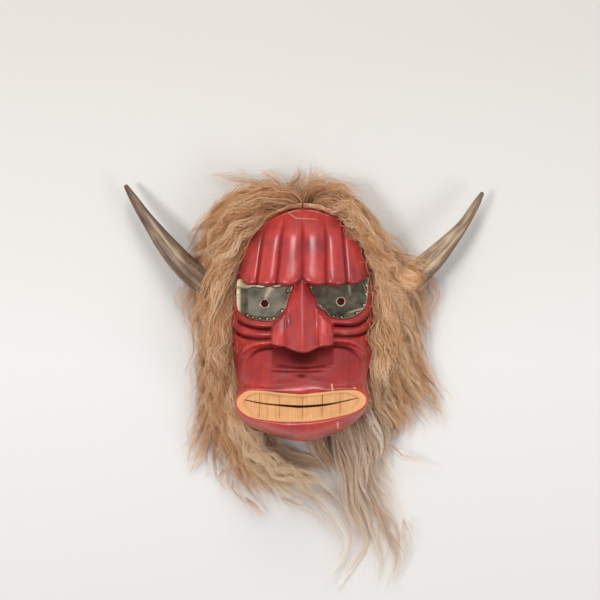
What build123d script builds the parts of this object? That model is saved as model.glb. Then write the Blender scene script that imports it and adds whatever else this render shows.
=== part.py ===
from build123d import *
import math
import os

# A carved wooden face mask lying on its open back. It has a fluted forehead, sheet metal eye plates, a bare
# wood tooth panel, two horns on wooden plugs, and hide strips with long hair tacked round the side wall.
# Millimetres. +Z comes out of the face, +Y points to the top of the head, and the rim lies on Z = 0.

# ---- Driving dimensions ----
HALF_WIDTH = 90.0        # of the rim, at the level of the nose
TOP = 146.0              # the rim's reach above the origin
BOTTOM = 122.0           # the rim's reach below the origin
RIM_POWER = 2.3          # 2 is an ellipse, and more is squarer
SIDE_HEIGHT = 42.0       # of the side wall, where the carved front begins
CROWN_HEIGHT = 84.0      # of the front at its middle
CROWN_POWER = 3.0        # how full the front is between its middle and the side wall
RIM_WALL = 13.0          # width of the rim on the back
CAVITY_DEPTH = 50.0      # of the hollow back, at its middle

# The carved lines between the forehead's flutes, from the middle out.
FLUTE_LINES = tuple(HALF_WIDTH * place / 90 for place in (0.0, 29.0, 55.0, 84.0))
FLUTE_DEPTH = 5.0
BROW_Y = 49.0            # the brow's lower edge, where the eye pockets start
FLUTE_TOP = 140.0        # where the flutes run out

EYE_INNER_Z = 64.0       # the eye plate's seat at the nose side
EYE_SLOPE = 14.0         # degrees that each plate turns outwards
EYE_CENTRE = (HALF_WIDTH * 0.528, 27.5)   # of the peephole
PLATE_GAUGE = 0.8
PEEPHOLE_R = 4.5
SIGHT_HOLE_R = 9.0       # the wider hole through the wood behind the peephole
PIN_R, PIN_HEAD_R, PIN_HEAD_HEIGHT, PIN_LENGTH = 0.6, 1.5, 0.6, 8.0

NOSE_TIP_Y = -31.0
NOSE_TIP_HEIGHT = 127.0
NOSE_HALF_WIDTH = HALF_WIDTH * 0.4

LIP_HEIGHT = 113.0       # the lips' front
LIP_HALF_WIDTH = HALF_WIDTH - 6.0
TEETH_RECESS = 3.0       # the tooth panel's front lies this far behind the lips
TEETH_THICK = 9.0
SLIT_HALF_LENGTH, SLIT_WIDTH = LIP_HALF_WIDTH - 16.0, 2.4
SLIT_SAG = 9.0           # how far the mouth line's middle hangs below its ends
MOUTH_Y = 25.0 - BOTTOM  # the mouth line's middle
TOOTH_LINES = (-0.625, -0.34, -0.007, 0.274, 0.535)   # as shares of the lips' half width
TOOTH_LINE_WIDTH, TOOTH_LINE_DEPTH = 0.9, 1.6

HIDE_GAUGE = 2.2
HIDE_LOW, HIDE_TOP_GAP = 8.0, 2.0      # its lower edge, and how far its upper edge stays below the carved front
HIDE_END_Y = 37.0 - BOTTOM             # where the side strips stop and the beard strip begins
TACK_R, TACK_HEAD_R, TACK_HEAD_HEIGHT, TACK_LENGTH = 0.9, 4.2, 1.8, 12.0

HORN_WALL = 3.5
PLUG_REACH = 60.0        # along the horn's middle line, from its first point
SCREW_R, SCREW_HEAD_R, SCREW_HEAD_HEIGHT, SCREW_LENGTH = 2.4, 4.8, 3.2, 50.0
SCREW_SINK = 4.0         # how far behind the horn's first point the screw's head bears on the wood
HORN_PIN_R, HORN_PIN_HEAD_R, HORN_PIN_HEAD_HEIGHT, HORN_PIN_LENGTH = 0.8, 1.8, 0.8, 9.0
HORN_PIN_PLACE = 30.0    # along the horn's middle line

HANGER_R, HANGER_DEPTH = 3.0, 12.0

FIT = 0.05               # clearance round pins, tacks and screws
SEAT = 0.2               # clearance round plates and panels
HIDE_GAP = 0.3           # between the side wall and the hide
HAIR_GAP = 0.5           # round each soft solid
REACH = 200.0            # longer than any cut needs


# ---- Shared shapes ----
def rim_half_height(y):
    return TOP if y >= 0 else BOTTOM


def rim_share(x, y):
    """0 at the origin and 1 on the rim's outline, a superellipse taller above the origin than below it."""
    return (abs(x / HALF_WIDTH) ** RIM_POWER + abs(y / rim_half_height(y)) ** RIM_POWER) ** (1 / RIM_POWER)


def rim_point(angle, grow=0.0):
    """A point on the outline, grown outwards, at a parameter angle in degrees from +X."""
    c, s = math.cos(math.radians(angle)), math.sin(math.radians(angle))
    x = math.copysign(abs(c) ** (2 / RIM_POWER), c) * (HALF_WIDTH + grow)
    y = math.copysign(abs(s) ** (2 / RIM_POWER), s) * (rim_half_height(s) + grow)
    return x, y


def rim_normal(x, y):
    nx = math.copysign(abs(x) ** (RIM_POWER - 1) / HALF_WIDTH ** RIM_POWER, x)
    ny = math.copysign(abs(y) ** (RIM_POWER - 1) / rim_half_height(y) ** RIM_POWER, y)
    return Vector(nx, ny, 0).normalized()


def closed_face(points, z=0.0):
    return make_face(Spline(*[(x, y) for x, y in points], periodic=True)).moved(Location((0, 0, z)))


def rim_face(grow=0.0, z=0.0, steps=28):
    return closed_face([rim_point(360 * (i + 0.5) / steps, grow) for i in range(steps)], z)


def rim_block(grow, low, high):
    return extrude(rim_face(grow, low), high - low)


def oval_face(centre_y, half_width, half_height, z, power=2.5, steps=20):
    points = []
    for i in range(steps):
        c, s = math.cos(2 * math.pi * i / steps), math.sin(2 * math.pi * i / steps)
        points.append((math.copysign(abs(c) ** (2 / power), c) * half_width,
                       centre_y + math.copysign(abs(s) ** (2 / power), s) * half_height))
    return closed_face(points, z)


def rod(start, direction, radius, length):
    return extrude(Plane(origin=start, z_dir=direction) * Circle(radius), length)


def mirrored(shape):
    return mirror(shape, about=Plane.YZ)


def half_space(side):
    """A large block on one side of the middle plane, -1 for left and 1 for right, clear of it by half a gap."""
    return Pos(side * (REACH * 2 + HAIR_GAP / 2), 0, 0) * Box(REACH * 4, REACH * 6, REACH * 4)


# ---- Mask shell: one block of wood, carved on the front and hollowed from the back ----
def flute_height(x, y):
    """The forehead's rounded flutes, deepest at the brow and running out towards the top."""
    if y > FLUTE_TOP:
        return 0.0
    spread = abs(x) / (1 - 0.1 * max(0.0, (y - BROW_Y) / (FLUTE_TOP - BROW_Y)))
    for low, high in zip(FLUTE_LINES, FLUTE_LINES[1:]):
        if low <= spread < high:
            along = (spread - low) / (high - low)
            fade = min(1.0, (FLUTE_TOP - y) / 45) * max(0.0, min(1.0, (y - BROW_Y + 22) / 22))
            return FLUTE_DEPTH * (1 - (2 * along - 1) ** 2) * fade
    return 0.0


def front_height(x, y):
    share = min(rim_share(x, y), 1.3)
    return SIDE_HEIGHT + (CROWN_HEIGHT - SIDE_HEIGHT) * (1 - share ** CROWN_POWER) + flute_height(x, y)


def carved_block():
    columns, rows, margin = 49, 37, 8.0
    grid = []
    for i in range(columns):
        x = (HALF_WIDTH + margin) * (2 * i / (columns - 1) - 1)
        low, high = -BOTTOM - margin, TOP + margin
        column = [low + (high - low) * j / (rows - 1) for j in range(rows)]
        grid.append([Vector(x, y, front_height(x, y)) for y in column])
    front = Face.make_surface_from_array_of_points(grid, tol=0.05)
    under_front = Solid.extrude(front, Vector(0, 0, -REACH))
    return rim_block(0, 0, REACH) & under_front


def nose():
    # y, half width, ridge height, height at the wing
    stations = ((56.0, 3.0, 82.0, 76.0), (36.0, 13.0, 95.0, 80.0), (12.0, 23.0, 110.0, 84.0),
                (-12.0, NOSE_HALF_WIDTH - 3, NOSE_TIP_HEIGHT - 6, 88.0),
                (NOSE_TIP_Y, NOSE_HALF_WIDTH, NOSE_TIP_HEIGHT, 90.0))
    base = EYE_INNER_Z - 4
    sections = []
    for y, half, ridge, wing in stations:
        plane = Plane(origin=(0, y, 0), x_dir=(1, 0, 0), z_dir=(0, -1, 0))
        over = Spline((-half, wing - 8), (-half * 0.55, (wing + ridge) / 2), (0, ridge),
                      (half * 0.55, (wing + ridge) / 2), (half, wing - 8))
        frame = Polyline((half, wing - 8), (half, base), (-half, base), (-half, wing - 8))
        sections.append(plane * make_face(over + frame))
    return loft(sections)


def muzzle(grow=0.0):
    # z, middle y, half width, half height
    stations = ((10.0, MOUTH_Y + 35, LIP_HALF_WIDTH - 18, 40.0),
                (SIDE_HEIGHT, MOUTH_Y + 29, LIP_HALF_WIDTH - 12, 48.0),
                (LIP_HEIGHT - 29, MOUTH_Y + 8, LIP_HALF_WIDTH, 54.0),
                (LIP_HEIGHT - 7, MOUTH_Y - 1, LIP_HALF_WIDTH, 39.0),
                (LIP_HEIGHT, MOUTH_Y - 2, LIP_HALF_WIDTH - 4, 32.0))
    return loft([oval_face(y, half_width + grow, half_height + grow, z) for z, y, half_width, half_height in stations])


def cavity():
    """The hollow back, with a channel running forward from it to the mouth slit."""
    # height, how far inside the rim's outline
    stations = ((-1.0, RIM_WALL), (CAVITY_DEPTH / 2, RIM_WALL + 6), (CAVITY_DEPTH * 0.84, RIM_WALL + 22),
                (CAVITY_DEPTH, RIM_WALL + 42))
    hollow = loft([rim_face(-inset, z) for z, inset in stations])
    channel = loft([oval_face(MOUTH_Y + 33, SLIT_HALF_LENGTH - 26, 18, 16),
                    oval_face(MOUTH_Y - 1, SLIT_HALF_LENGTH - 6, 9, panel_low() + 1)])
    return hollow + channel


def panel_low():
    """The floor of the tooth panel's pocket."""
    return LIP_HEIGHT - TEETH_RECESS - TEETH_THICK


def eye_x(x):
    """Places across the eye, drawn for a 90 mm half width, spread or drawn in to suit the rim's."""
    return 17 + (x - 17) * (HALF_WIDTH - 17) / 73


def eye_outline(grow=0.0):
    """The right eye's outline, seen from the front: straight under the brow and round below."""
    points = [(eye_x(x), y) for x, y in ((17, 47), (45, 49.5), (76, 52.5), (82, 43), (80, 24), (70, 10), (54, 4.5),
                                         (38, 4), (27, 13), (20, 30))]
    middle_x, middle_y = eye_x(50.0), 28.0
    grown = []
    for x, y in points:
        reach = math.hypot(x - middle_x, y - middle_y)
        scale = (reach + grow) / reach
        grown.append((middle_x + (x - middle_x) * scale, middle_y + (y - middle_y) * scale))
    return closed_face(grown)


def eye_plane(lift=0.0):
    """The right eye plate's seat: it slopes down towards the outer side."""
    slope = math.radians(EYE_SLOPE)
    normal = Vector(math.sin(slope), 0, math.cos(slope))
    return Plane(origin=Vector(17, 0, EYE_INNER_Z) + normal * lift, z_dir=normal)


def above(plane):
    return extrude(plane * Rectangle(REACH * 4, REACH * 4), REACH)


def eye_pocket():
    return extrude(eye_outline(SEAT), REACH) & above(eye_plane())


def mouth_outline(grow=0.0):
    points = ((-79.6, -92.5), (-76.5, -85), (-66.5, -78.2), (-46, -78.2), (-28, -80), (-11, -81.4), (0, -81.7),
              (22.6, -79.6), (40.3, -77.8), (59.7, -77.2), (69.5, -80), (75.4, -87), (73.5, -94.8), (64.7, -102.3),
              (49, -107.8), (31, -111.6), (13, -114.2), (-4, -115.2), (-28.6, -114.8), (-50.7, -112.4), (-65.7, -108.4),
              (-76, -100.8))
    middle_y = MOUTH_Y
    grown = []
    for x, y in points:
        x, y = x * LIP_HALF_WIDTH / 84, y + 97 + middle_y
        reach = math.hypot(x, y - middle_y)
        scale = (reach + grow) / reach
        grown.append((x * scale, middle_y + (y - middle_y) * scale))
    return closed_face(grown)


def strip_middle():
    return (HIDE_LOW + SIDE_HEIGHT - HIDE_TOP_GAP) / 2


def wall_frame(angle, side=1):
    """A point half way up the side wall and the wall's outward normal there."""
    x, y = rim_point(angle)
    return Vector(side * x, y, strip_middle()), rim_normal(side * x, y)


SIDE_TACKS = (84, 70, 56, 42, 28, -10, -23, -35)
BEARD_TACKS = (-54, -68, -82, -98, -112, -126)


# ---- Hide strips and their tacks ----
def hide_band():
    high = SIDE_HEIGHT - HIDE_TOP_GAP
    return rim_block(HIDE_GAP + HIDE_GAUGE, HIDE_LOW, high) - rim_block(HIDE_GAP, HIDE_LOW, high)


def above_line(y):
    return Pos(0, y + REACH * 2, 0) * Box(REACH * 4, REACH * 4, REACH * 4)


def tack(frame):
    place, out = frame
    seat = place + out * (HIDE_GAP + HIDE_GAUGE + SEAT)
    head = loft([Plane(origin=seat, z_dir=out) * Circle(TACK_HEAD_R),
                 Plane(origin=seat + out * TACK_HEAD_HEIGHT, z_dir=out) * Circle(TACK_HEAD_R * 0.55)])
    return head + rod(seat, out * -1, TACK_R, TACK_LENGTH)


def tack_hole(frame):
    place, out = frame
    seat = place + out * (HIDE_GAP + HIDE_GAUGE + SEAT)
    return rod(seat, out * -1, TACK_R + FIT, TACK_LENGTH + FIT)


# ---- Eye plates and their pins ----
# Where the pins go through the right eye plate, close inside its lower and outer edge.
EYE_PINS = [(eye_x(x), y) for x, y in ((76.5, 42.0), (76.0, 27.0), (70.0, 15.5), (60.0, 9.5), (49.0, 7.5), (38.5, 9.5),
                                       (30.0, 18.0), (24.0, 33.0))]


def eye_place(x, y, lift=0.0):
    """A point over the right eye's seat, at a place seen from the front."""
    return Vector(x, y, EYE_INNER_Z - (x - 17) * math.tan(math.radians(EYE_SLOPE))) + eye_plane().z_dir * lift


def eye_hole(x, y, radius, depth):
    return rod(eye_place(x, y, PLATE_GAUGE * 2), eye_plane().z_dir * -1, radius, depth + PLATE_GAUGE * 2)


def eye_plate():
    sheet = extrude(eye_outline(), REACH) & (above(eye_plane()) - above(eye_plane(PLATE_GAUGE)))
    return sheet - eye_hole(*EYE_CENTRE, PEEPHOLE_R, 5) - [eye_hole(x, y, PIN_R + FIT, 5) for x, y in EYE_PINS]


def eye_pin(x, y):
    axis = eye_plane().z_dir
    head = rod(eye_place(x, y, PLATE_GAUGE), axis, PIN_HEAD_R, PIN_HEAD_HEIGHT)
    return head + rod(eye_place(x, y, PLATE_GAUGE), axis * -1, PIN_R, PIN_LENGTH)


# ---- Horns: hollow sheaths on wooden plugs, each held by one screw from inside the mask ----
# The middle line of each horn from inside the side wall to the tip, and the radius there.
LEFT_HORN = [(x + 90 - HALF_WIDTH, y, z, r) for x, y, z, r in (
    (-78.0, 12.0, 26.0, 17.2), (-112.0, 42.0, 31.0, 16.8), (-146.0, 70.5, 36.0, 15.8), (-170.5, 97.5, 37.0, 13.2),
    (-197.0, 132.5, 33.0, 8.4), (-214.5, 159.0, 27.0, 5.6), (-227.5, 178.5, 22.0, 2.6))]
RIGHT_HORN = [(x - 90 + HALF_WIDTH, y, z, r) for x, y, z, r in (
    (78.0, 6.0, 26.0, 17.2), (116.0, 38.0, 31.0, 16.6), (161.0, 79.5, 37.0, 14.8), (188.0, 108.5, 36.0, 9.9),
    (205.0, 129.0, 32.0, 6.8), (221.0, 154.0, 27.0, 5.0), (229.0, 166.8, 23.0, 2.6))]


def horn_line(path):
    return Spline(*[p[:3] for p in path])


def horn_section(path, share, radius):
    line = horn_line(path)
    return Plane(origin=line @ share, z_dir=line % share) * Circle(radius)


def horn_body(path, grow=0.0):
    """A loft through round sections square to the horn's middle line."""
    line = horn_line(path)
    return loft([Plane(origin=p[:3], z_dir=line % line.param_at_point(Vector(*p[:3]))) * Circle(p[3] + grow)
                 for p in path])


def horn_plug(path, grow=0.0):
    """The tapered wooden core that fills the horn's hollow foot."""
    share = PLUG_REACH / horn_line(path).length
    return loft([horn_section(path, 0, path[0][3] - HORN_WALL - FIT + grow),
                 horn_section(path, share, path[1][3] - HORN_WALL - FIT - 0.6 + grow)])


def wall_and_hide():
    """Everything inside the outer face of the side wall, which the horns and plugs are cut against."""
    return rim_block(HIDE_GAP, -REACH, REACH)


def screw_start(path):
    line = horn_line(path)
    direction = (line % 0).normalized()
    return Vector(*path[0][:3]) - direction * SCREW_SINK, direction


def horn_screw(path):
    bearing, direction = screw_start(path)
    point = Plane(origin=bearing + direction * SCREW_LENGTH, z_dir=direction)
    tip = loft([point * Circle(SCREW_R), point.offset(SCREW_R * 2) * Circle(SCREW_R * 0.25)])
    head = rod(bearing, direction * -1, SCREW_HEAD_R, SCREW_HEAD_HEIGHT)
    slot = Plane(origin=bearing - direction * SCREW_HEAD_HEIGHT, z_dir=direction) * Box(1.2, SCREW_HEAD_R * 3, 2.4)
    return head - slot + rod(bearing, direction, SCREW_R, SCREW_LENGTH) + tip


def screw_hole(path):
    """The screw's hole, with a wider one for its head and a driver from the cavity's side."""
    bearing, direction = screw_start(path)
    shank = rod(bearing, direction, SCREW_R + FIT, SCREW_LENGTH + SCREW_R * 2 + FIT)
    return shank + rod(bearing, direction * -1, SCREW_HEAD_R + SEAT, 30)


def horn_pin_frames(path):
    """Three nails round the horn, through its wall into the plug."""
    line = horn_line(path)
    share = HORN_PIN_PLACE / line.length
    to_second = line.param_at_point(Vector(*path[1][:3]))
    place, along = line @ share, (line % share).normalized()
    radius = path[0][3] + (path[1][3] - path[0][3]) * share / to_second
    across = along.cross(Vector(0, 0, 1)).normalized()
    up = across.cross(along).normalized()
    frames = []
    for angle in (90, 210, 330):
        out = across * math.cos(math.radians(angle)) + up * math.sin(math.radians(angle))
        frames.append((place + out * (radius + SEAT), out))
    return frames


def horn_pin(frame):
    place, out = frame
    return rod(place, out, HORN_PIN_HEAD_R, HORN_PIN_HEAD_HEIGHT) + rod(place, out * -1, HORN_PIN_R, HORN_PIN_LENGTH)


def horn_pin_hole(frame):
    """The nail's hole, and a flat for its head where the horn bulges."""
    place, out = frame
    return rod(place, out * -1, HORN_PIN_R + FIT, HORN_PIN_LENGTH + FIT) + rod(place, out, HORN_PIN_HEAD_R + FIT, 4)


def horn_pin_room(frame):
    place, out = frame
    return rod(place - out * 3, out, HORN_PIN_HEAD_R + HAIR_GAP, HORN_PIN_HEAD_HEIGHT + HAIR_GAP + 3)


# ---- Soft solids: plain closed shapes for the hair ----
# Their outlines are drawn for a rim 90 wide, 146 above and 122 below the origin, and follow the rim's own sizes.
MANE_OUTLINE = ((0, 190), (-62, 192), (-112, 176), (-134, 138), (-150, 104), (-150, 40), (-156, 16), (-146, -12),
                (-138, -56), (-144, -98), (-136, -138), (-154, -180), (-120, -168), (-92, -142), (-58, -106),
                (58, -106), (92, -132), (140, -136), (182, -122), (182, -94), (158, -46), (168, 12), (174, 62),
                (150, 96), (106, 134), (66, 170))
LEFT_BEARD_OUTLINE = ((-50, -112), (-90, -148), (-114, -174), (-88, -212), (-62, -230), (-34, -242), (-22, -206),
                      (-8, -184), (-4, -112))
RIGHT_BEARD_OUTLINE = ((0, -112), (-4, -182), (22, -222), (48, -250), (56, -282), (38, -320), (-2, -352), (4, -362),
                       (60, -338), (92, -360), (106, -360), (120, -292), (128, -250), (134, -206), (114, -158),
                       (88, -138), (50, -112))


def hair_mass(outline, root, levels):
    """Flat polygons on the floor, smaller and nearer to the hair's roots at each level."""
    sections = []
    outline = [(x * HALF_WIDTH / 90, y * (TOP / 146 if y > 0 else BOTTOM / 122)) for x, y in outline]
    for z, scale in levels:
        points = [(root[0] + (x - root[0]) * scale, root[1] + (y - root[1]) * scale) for x, y in outline]
        sections.append(make_face(Polyline(*points, close=True)).moved(Location((0, 0, z))))
    return loft(sections, ruled=True)


def inside_hair():
    """The mask, the hide and the tack heads, with room round them."""
    return rim_block(HIDE_GAP + HIDE_GAUGE + SEAT + TACK_HEAD_HEIGHT + HAIR_GAP, -REACH, REACH)


# ---- Build ----
def save(name, shape):
    export_step(shape, f"parts/{name}.step")


os.makedirs("parts", exist_ok=True)
both_pockets = eye_pocket() + mirrored(eye_pocket())
shell = carved_block() - both_pockets + nose() + muzzle() - cavity()
sight_hole = eye_hole(*EYE_CENTRE, SIGHT_HOLE_R, 40)
shell -= sight_hole
shell -= mirrored(sight_hole)
shell -= extrude(mouth_outline(SEAT).moved(Location((0, 0, panel_low()))), REACH)
shell -= rod((0, TOP - RIM_WALL / 2, 0), (0, 0, 1), HANGER_R, HANGER_DEPTH)
pin_holes = [eye_hole(x, y, PIN_R + FIT, PIN_LENGTH) for x, y in EYE_PINS]
tack_frames = {"left": [wall_frame(a, -1) for a in SIDE_TACKS], "right": [wall_frame(a, 1) for a in SIDE_TACKS],
               "beard": [wall_frame(a) for a in BEARD_TACKS]}
for hole in pin_holes + [mirrored(hole) for hole in pin_holes]:
    shell -= hole
for frames in tack_frames.values():
    for frame in frames:
        shell -= tack_hole(frame)
for path in (LEFT_HORN, RIGHT_HORN):
    shell -= screw_hole(path)
save("mask_shell", shell)

left_high, left_low = [(-SLIT_HALF_LENGTH, MOUTH_Y + SLIT_SAG + side * SLIT_WIDTH / 2) for side in (1, -1)]
right_high, right_low = [(SLIT_HALF_LENGTH, MOUTH_Y + SLIT_SAG + side * SLIT_WIDTH / 2) for side in (1, -1)]
slit = make_face(
    Spline(left_high, (0, MOUTH_Y + SLIT_WIDTH / 2), right_high) + Line(right_high, right_low)
    + Spline(right_low, (0, MOUTH_Y - SLIT_WIDTH / 2), left_low) + Line(left_low, left_high))
panel_top = panel_low() + TEETH_THICK
panel = extrude(mouth_outline().moved(Location((0, 0, panel_low()))), TEETH_THICK)
panel -= extrude(slit, REACH)
for share in TOOTH_LINES:
    panel -= Pos(share * LIP_HALF_WIDTH, MOUTH_Y, panel_top) * Box(TOOTH_LINE_WIDTH, REACH, 2 * TOOTH_LINE_DEPTH)
save("tooth_panel", panel)

plate = eye_plate()
pins = Compound(children=[eye_pin(x, y) for x, y in EYE_PINS])
save("right_eye_plate", plate)
save("left_eye_plate", mirrored(plate))
save("right_eye_pins", pins)
save("left_eye_pins", Compound(children=[mirrored(eye_pin(x, y)) for x, y in EYE_PINS]))

band = hide_band()
mane = hair_mass(MANE_OUTLINE, (0, 10), ((0.4, 1.0), (30.0, 0.94), (52.0, 0.8))) - inside_hair() - muzzle(HAIR_GAP)
for name, side, path in (("left", -1, LEFT_HORN), ("right", 1, RIGHT_HORN)):
    wall = wall_and_hide()
    horn = horn_body(path) - horn_plug(path, FIT) - wall
    plug = horn_plug(path) - wall - screw_hole(path)
    frames = horn_pin_frames(path)
    strip = band & half_space(side) & above_line(HIDE_END_Y)
    strip -= horn_body(path, HIDE_GAP)
    for frame in frames:
        horn -= horn_pin_hole(frame)
        plug -= horn_pin_hole(frame)
    for frame in tack_frames[name]:
        strip -= tack_hole(frame)
    save(f"{name}_horn", horn)
    save(f"{name}_horn_plug", plug)
    save(f"{name}_horn_screw", horn_screw(path))
    save(f"{name}_horn_pins", Compound(children=[horn_pin(frame) for frame in frames]))
    save(f"{name}_hide_strip", strip)
    save(f"{name}_strip_tacks", Compound(children=[tack(frame) for frame in tack_frames[name]]))
    half_mane = (mane & half_space(side)) - horn_body(path, HAIR_GAP)
    for frame in frames:
        half_mane -= horn_pin_room(frame)
    save(f"{name}_mane", half_mane)

beard_strip = band - above_line(HIDE_END_Y - HAIR_GAP)
for frame in tack_frames["beard"]:
    beard_strip -= tack_hole(frame)
save("beard_strip", beard_strip)
save("beard_tacks", Compound(children=[tack(frame) for frame in tack_frames["beard"]]))
levels = ((0.4, 1.0), (16.0, 0.8), (36.0, 0.45))
save("left_beard", hair_mass(LEFT_BEARD_OUTLINE, (-30, -BOTTOM - 8), levels) - inside_hair())
save("right_beard", hair_mass(RIGHT_BEARD_OUTLINE, (40, -BOTTOM - 8), levels) - inside_hair())
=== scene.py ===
import math

import bpy
import numpy as np
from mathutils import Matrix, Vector


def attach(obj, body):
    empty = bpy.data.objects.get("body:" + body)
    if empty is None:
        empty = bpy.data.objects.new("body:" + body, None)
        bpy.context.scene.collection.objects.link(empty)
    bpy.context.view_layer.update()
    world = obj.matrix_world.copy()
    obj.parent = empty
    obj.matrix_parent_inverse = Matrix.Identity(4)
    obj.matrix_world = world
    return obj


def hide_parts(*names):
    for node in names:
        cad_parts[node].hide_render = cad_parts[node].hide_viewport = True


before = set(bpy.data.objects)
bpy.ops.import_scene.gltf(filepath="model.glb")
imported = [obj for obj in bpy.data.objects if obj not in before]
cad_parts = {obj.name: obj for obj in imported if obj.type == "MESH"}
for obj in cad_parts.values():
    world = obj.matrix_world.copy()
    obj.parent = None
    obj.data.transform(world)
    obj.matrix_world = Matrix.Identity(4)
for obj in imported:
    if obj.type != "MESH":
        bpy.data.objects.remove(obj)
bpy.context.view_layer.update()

# ---- Mask shell ----
# One block of basswood, carved with knives and gouges, hollowed from the back, then painted red, rubbed with a
# dark wash that stays in the hollows, and waxed. The whole block is one closed surface. Sizes are millimetres.


def outline_radius(points, angles):
    """Distance from the origin to a closed outline at each angle: a smooth cubic through its points."""
    points = np.array(points, float)
    known = np.arctan2(points[:, 1], points[:, 0])
    order = np.argsort(known)
    known, radius = known[order], np.hypot(*points[order].T)
    return periodic_curve(known, radius, angles)


def periodic_curve(known, values, angles):
    """A Catmull-Rom curve through values at known angles, repeated every full turn."""
    turn = 2 * math.pi
    known = np.concatenate([known[-2:] - turn, known, known[:3] + turn])
    values = np.concatenate([values[-2:], values, values[:3]])
    angles = (angles - known[2]) % turn + known[2]
    i = np.clip(np.searchsorted(known, angles, side="right") - 1, 1, len(known) - 3)
    t = (angles - known[i]) / (known[i + 1] - known[i])
    slope_in = (values[i + 1] - values[i - 1]) / (known[i + 1] - known[i - 1])
    slope_out = (values[i + 2] - values[i]) / (known[i + 2] - known[i])
    width = known[i + 1] - known[i]
    return ((2 * t**3 - 3 * t**2 + 1) * values[i] + (t**3 - 2 * t**2 + t) * width * slope_in
            + (3 * t**2 - 2 * t**3) * values[i + 1] + (t**3 - t**2) * width * slope_out)


def smooth_step(low, high, value):
    t = np.clip((value - low) / (high - low), 0, 1)
    return t * t * (3 - 2 * t)


def profile(at, known, values):
    """Straight pieces through known places, rounded by averaging over 5 places within 5 mm."""
    return sum(np.interp(at + offset, known, values) for offset in (-5, -2.5, 0, 2.5, 5)) / 5


def soft_max(a, b, blend):
    """The larger of two heights, rounded together where they differ by less than blend."""
    return np.maximum(a, b) + blend / 4 * np.maximum(0, 1 - np.abs(a - b) / blend) ** 2


def closed_curve(points, steps):
    """A closed smooth curve through plan points: Catmull-Rom, in evenly many steps per piece."""
    p = np.array(points, float)
    before, after, later = np.roll(p, 1, 0), np.roll(p, -1, 0), np.roll(p, -2, 0)
    t = (np.arange(steps) / steps)[None, :, None]
    curve = 0.5 * (2 * p[:, None] + (after - before)[:, None] * t
                   + (2 * before - 5 * p + 4 * after - later)[:, None] * t**2
                   + (3 * p - before - 3 * after + later)[:, None] * t**3)
    return curve.reshape(-1, p.shape[1])


def open_curve(points, count):
    """An open Catmull-Rom curve through points, resampled to count points evenly spaced along it."""
    p = np.array(points, float)
    p = np.concatenate([[2 * p[0] - p[1]], p, [2 * p[-1] - p[-2]]])
    t = np.linspace(0, 1, 24, endpoint=False)[:, None, None]
    a, b, c, d = p[:-3], p[1:-2], p[2:-1], p[3:]
    fine = 0.5 * (2 * b + (c - a) * t + (2 * a - 5 * b + 4 * c - d) * t**2 + (3 * b - a - 3 * c + d) * t**3)
    fine = np.concatenate([fine.transpose(1, 0, 2).reshape(-1, p.shape[1]), p[-2:-1]])
    along = np.concatenate([[0], np.cumsum(np.linalg.norm(np.diff(fine, axis=0), axis=1))])
    even = np.linspace(0, along[-1], count)
    return np.stack([np.interp(even, along, fine[:, k]) for k in range(p.shape[1])], 1)


def edge_distance(x, y, points, closed=True):
    """Distance from each plan point to a polyline, and how far along it (0 to 1) the nearest place is. Inside
    a closed one the distance is negative."""
    p = np.array(points, float)[:, :2]
    q = np.roll(p, -1, 0) if closed else p[1:]
    p = p if closed else p[:-1]
    best = np.full(x.shape, 1e9)
    along = np.zeros(x.shape)
    inside = np.zeros(x.shape, bool)
    lengths = np.hypot(*(q - p).T)
    starts = np.concatenate([[0], np.cumsum(lengths)])
    for (px, py), (qx, qy), length, start in zip(p, q, lengths, starts):
        t = np.clip(((x - px) * (qx - px) + (y - py) * (qy - py)) / length**2, 0, 1)
        away = np.hypot(x - px - t * (qx - px), y - py - t * (qy - py))
        along = np.where(away < best, (start + t * length) / starts[-1], along)
        best = np.minimum(best, away)
        if closed:
            crosses = (py > y) != (qy > y)
            inside ^= crosses & (x < (qx - px) * (y - py) / np.where(qy == py, 1e-9, qy - py) + px)
    return np.where(inside, -best, best), along


# The carved front's outline seen from the front, and the height of its edge there.
FRONT_EDGE = [(0, 146.8, 44), (-24, 140.7, 44), (-41, 132.4, 44), (-61.3, 112.8, 44), (-73.2, 95.9, 44),
              (-80.1, 74.4, 44), (-82.5, 55.4, 45), (-84.3, 37.8, 46), (-88, 16.4, 48), (-89.6, 0.1, 50),
              (-89.8, -12.4, 52), (-87.9, -35.9, 58), (-82.4, -57.4, 72), (-80.5, -76.7, 88), (-83.4, -93.7, 96),
              (-79.5, -109.6, 93), (-66.7, -121.7, 87), (-48.2, -130.9, 82), (-26, -138.8, 77), (-0.6, -142.8, 75),
              (16.9, -141, 76), (35.5, -134.2, 80), (53.7, -125, 86), (70.3, -110.6, 93), (80.6, -91, 96),
              (78.7, -76.7, 88), (78.7, -64.8, 78), (81.7, -52, 68), (89.1, -29.8, 56), (92.2, -12.4, 52),
              (92.6, 3.9, 50), (91.3, 21.4, 48), (90.2, 44.1, 46), (89.4, 66.8, 44), (84.6, 89.5, 44),
              (74.5, 108.5, 44),
              (58.9, 122.9, 44), (32.8, 138.8, 44)]
RIM = dict(width=90.0, top=146.0, bottom=122.0, power=2.3)


def rim_radius(angles, inset=0.0):
    """The rim's superellipse, |x / width|^power + |y / height|^power = 1, as a distance from the origin."""
    x, y = np.abs(np.cos(angles)), np.sin(angles)
    height = np.where(y > 0, RIM["top"], RIM["bottom"]) - inset
    n = RIM["power"]
    return ((x / (RIM["width"] - inset)) ** n + (np.abs(y) / height) ** n) ** (-1 / n)


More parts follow.
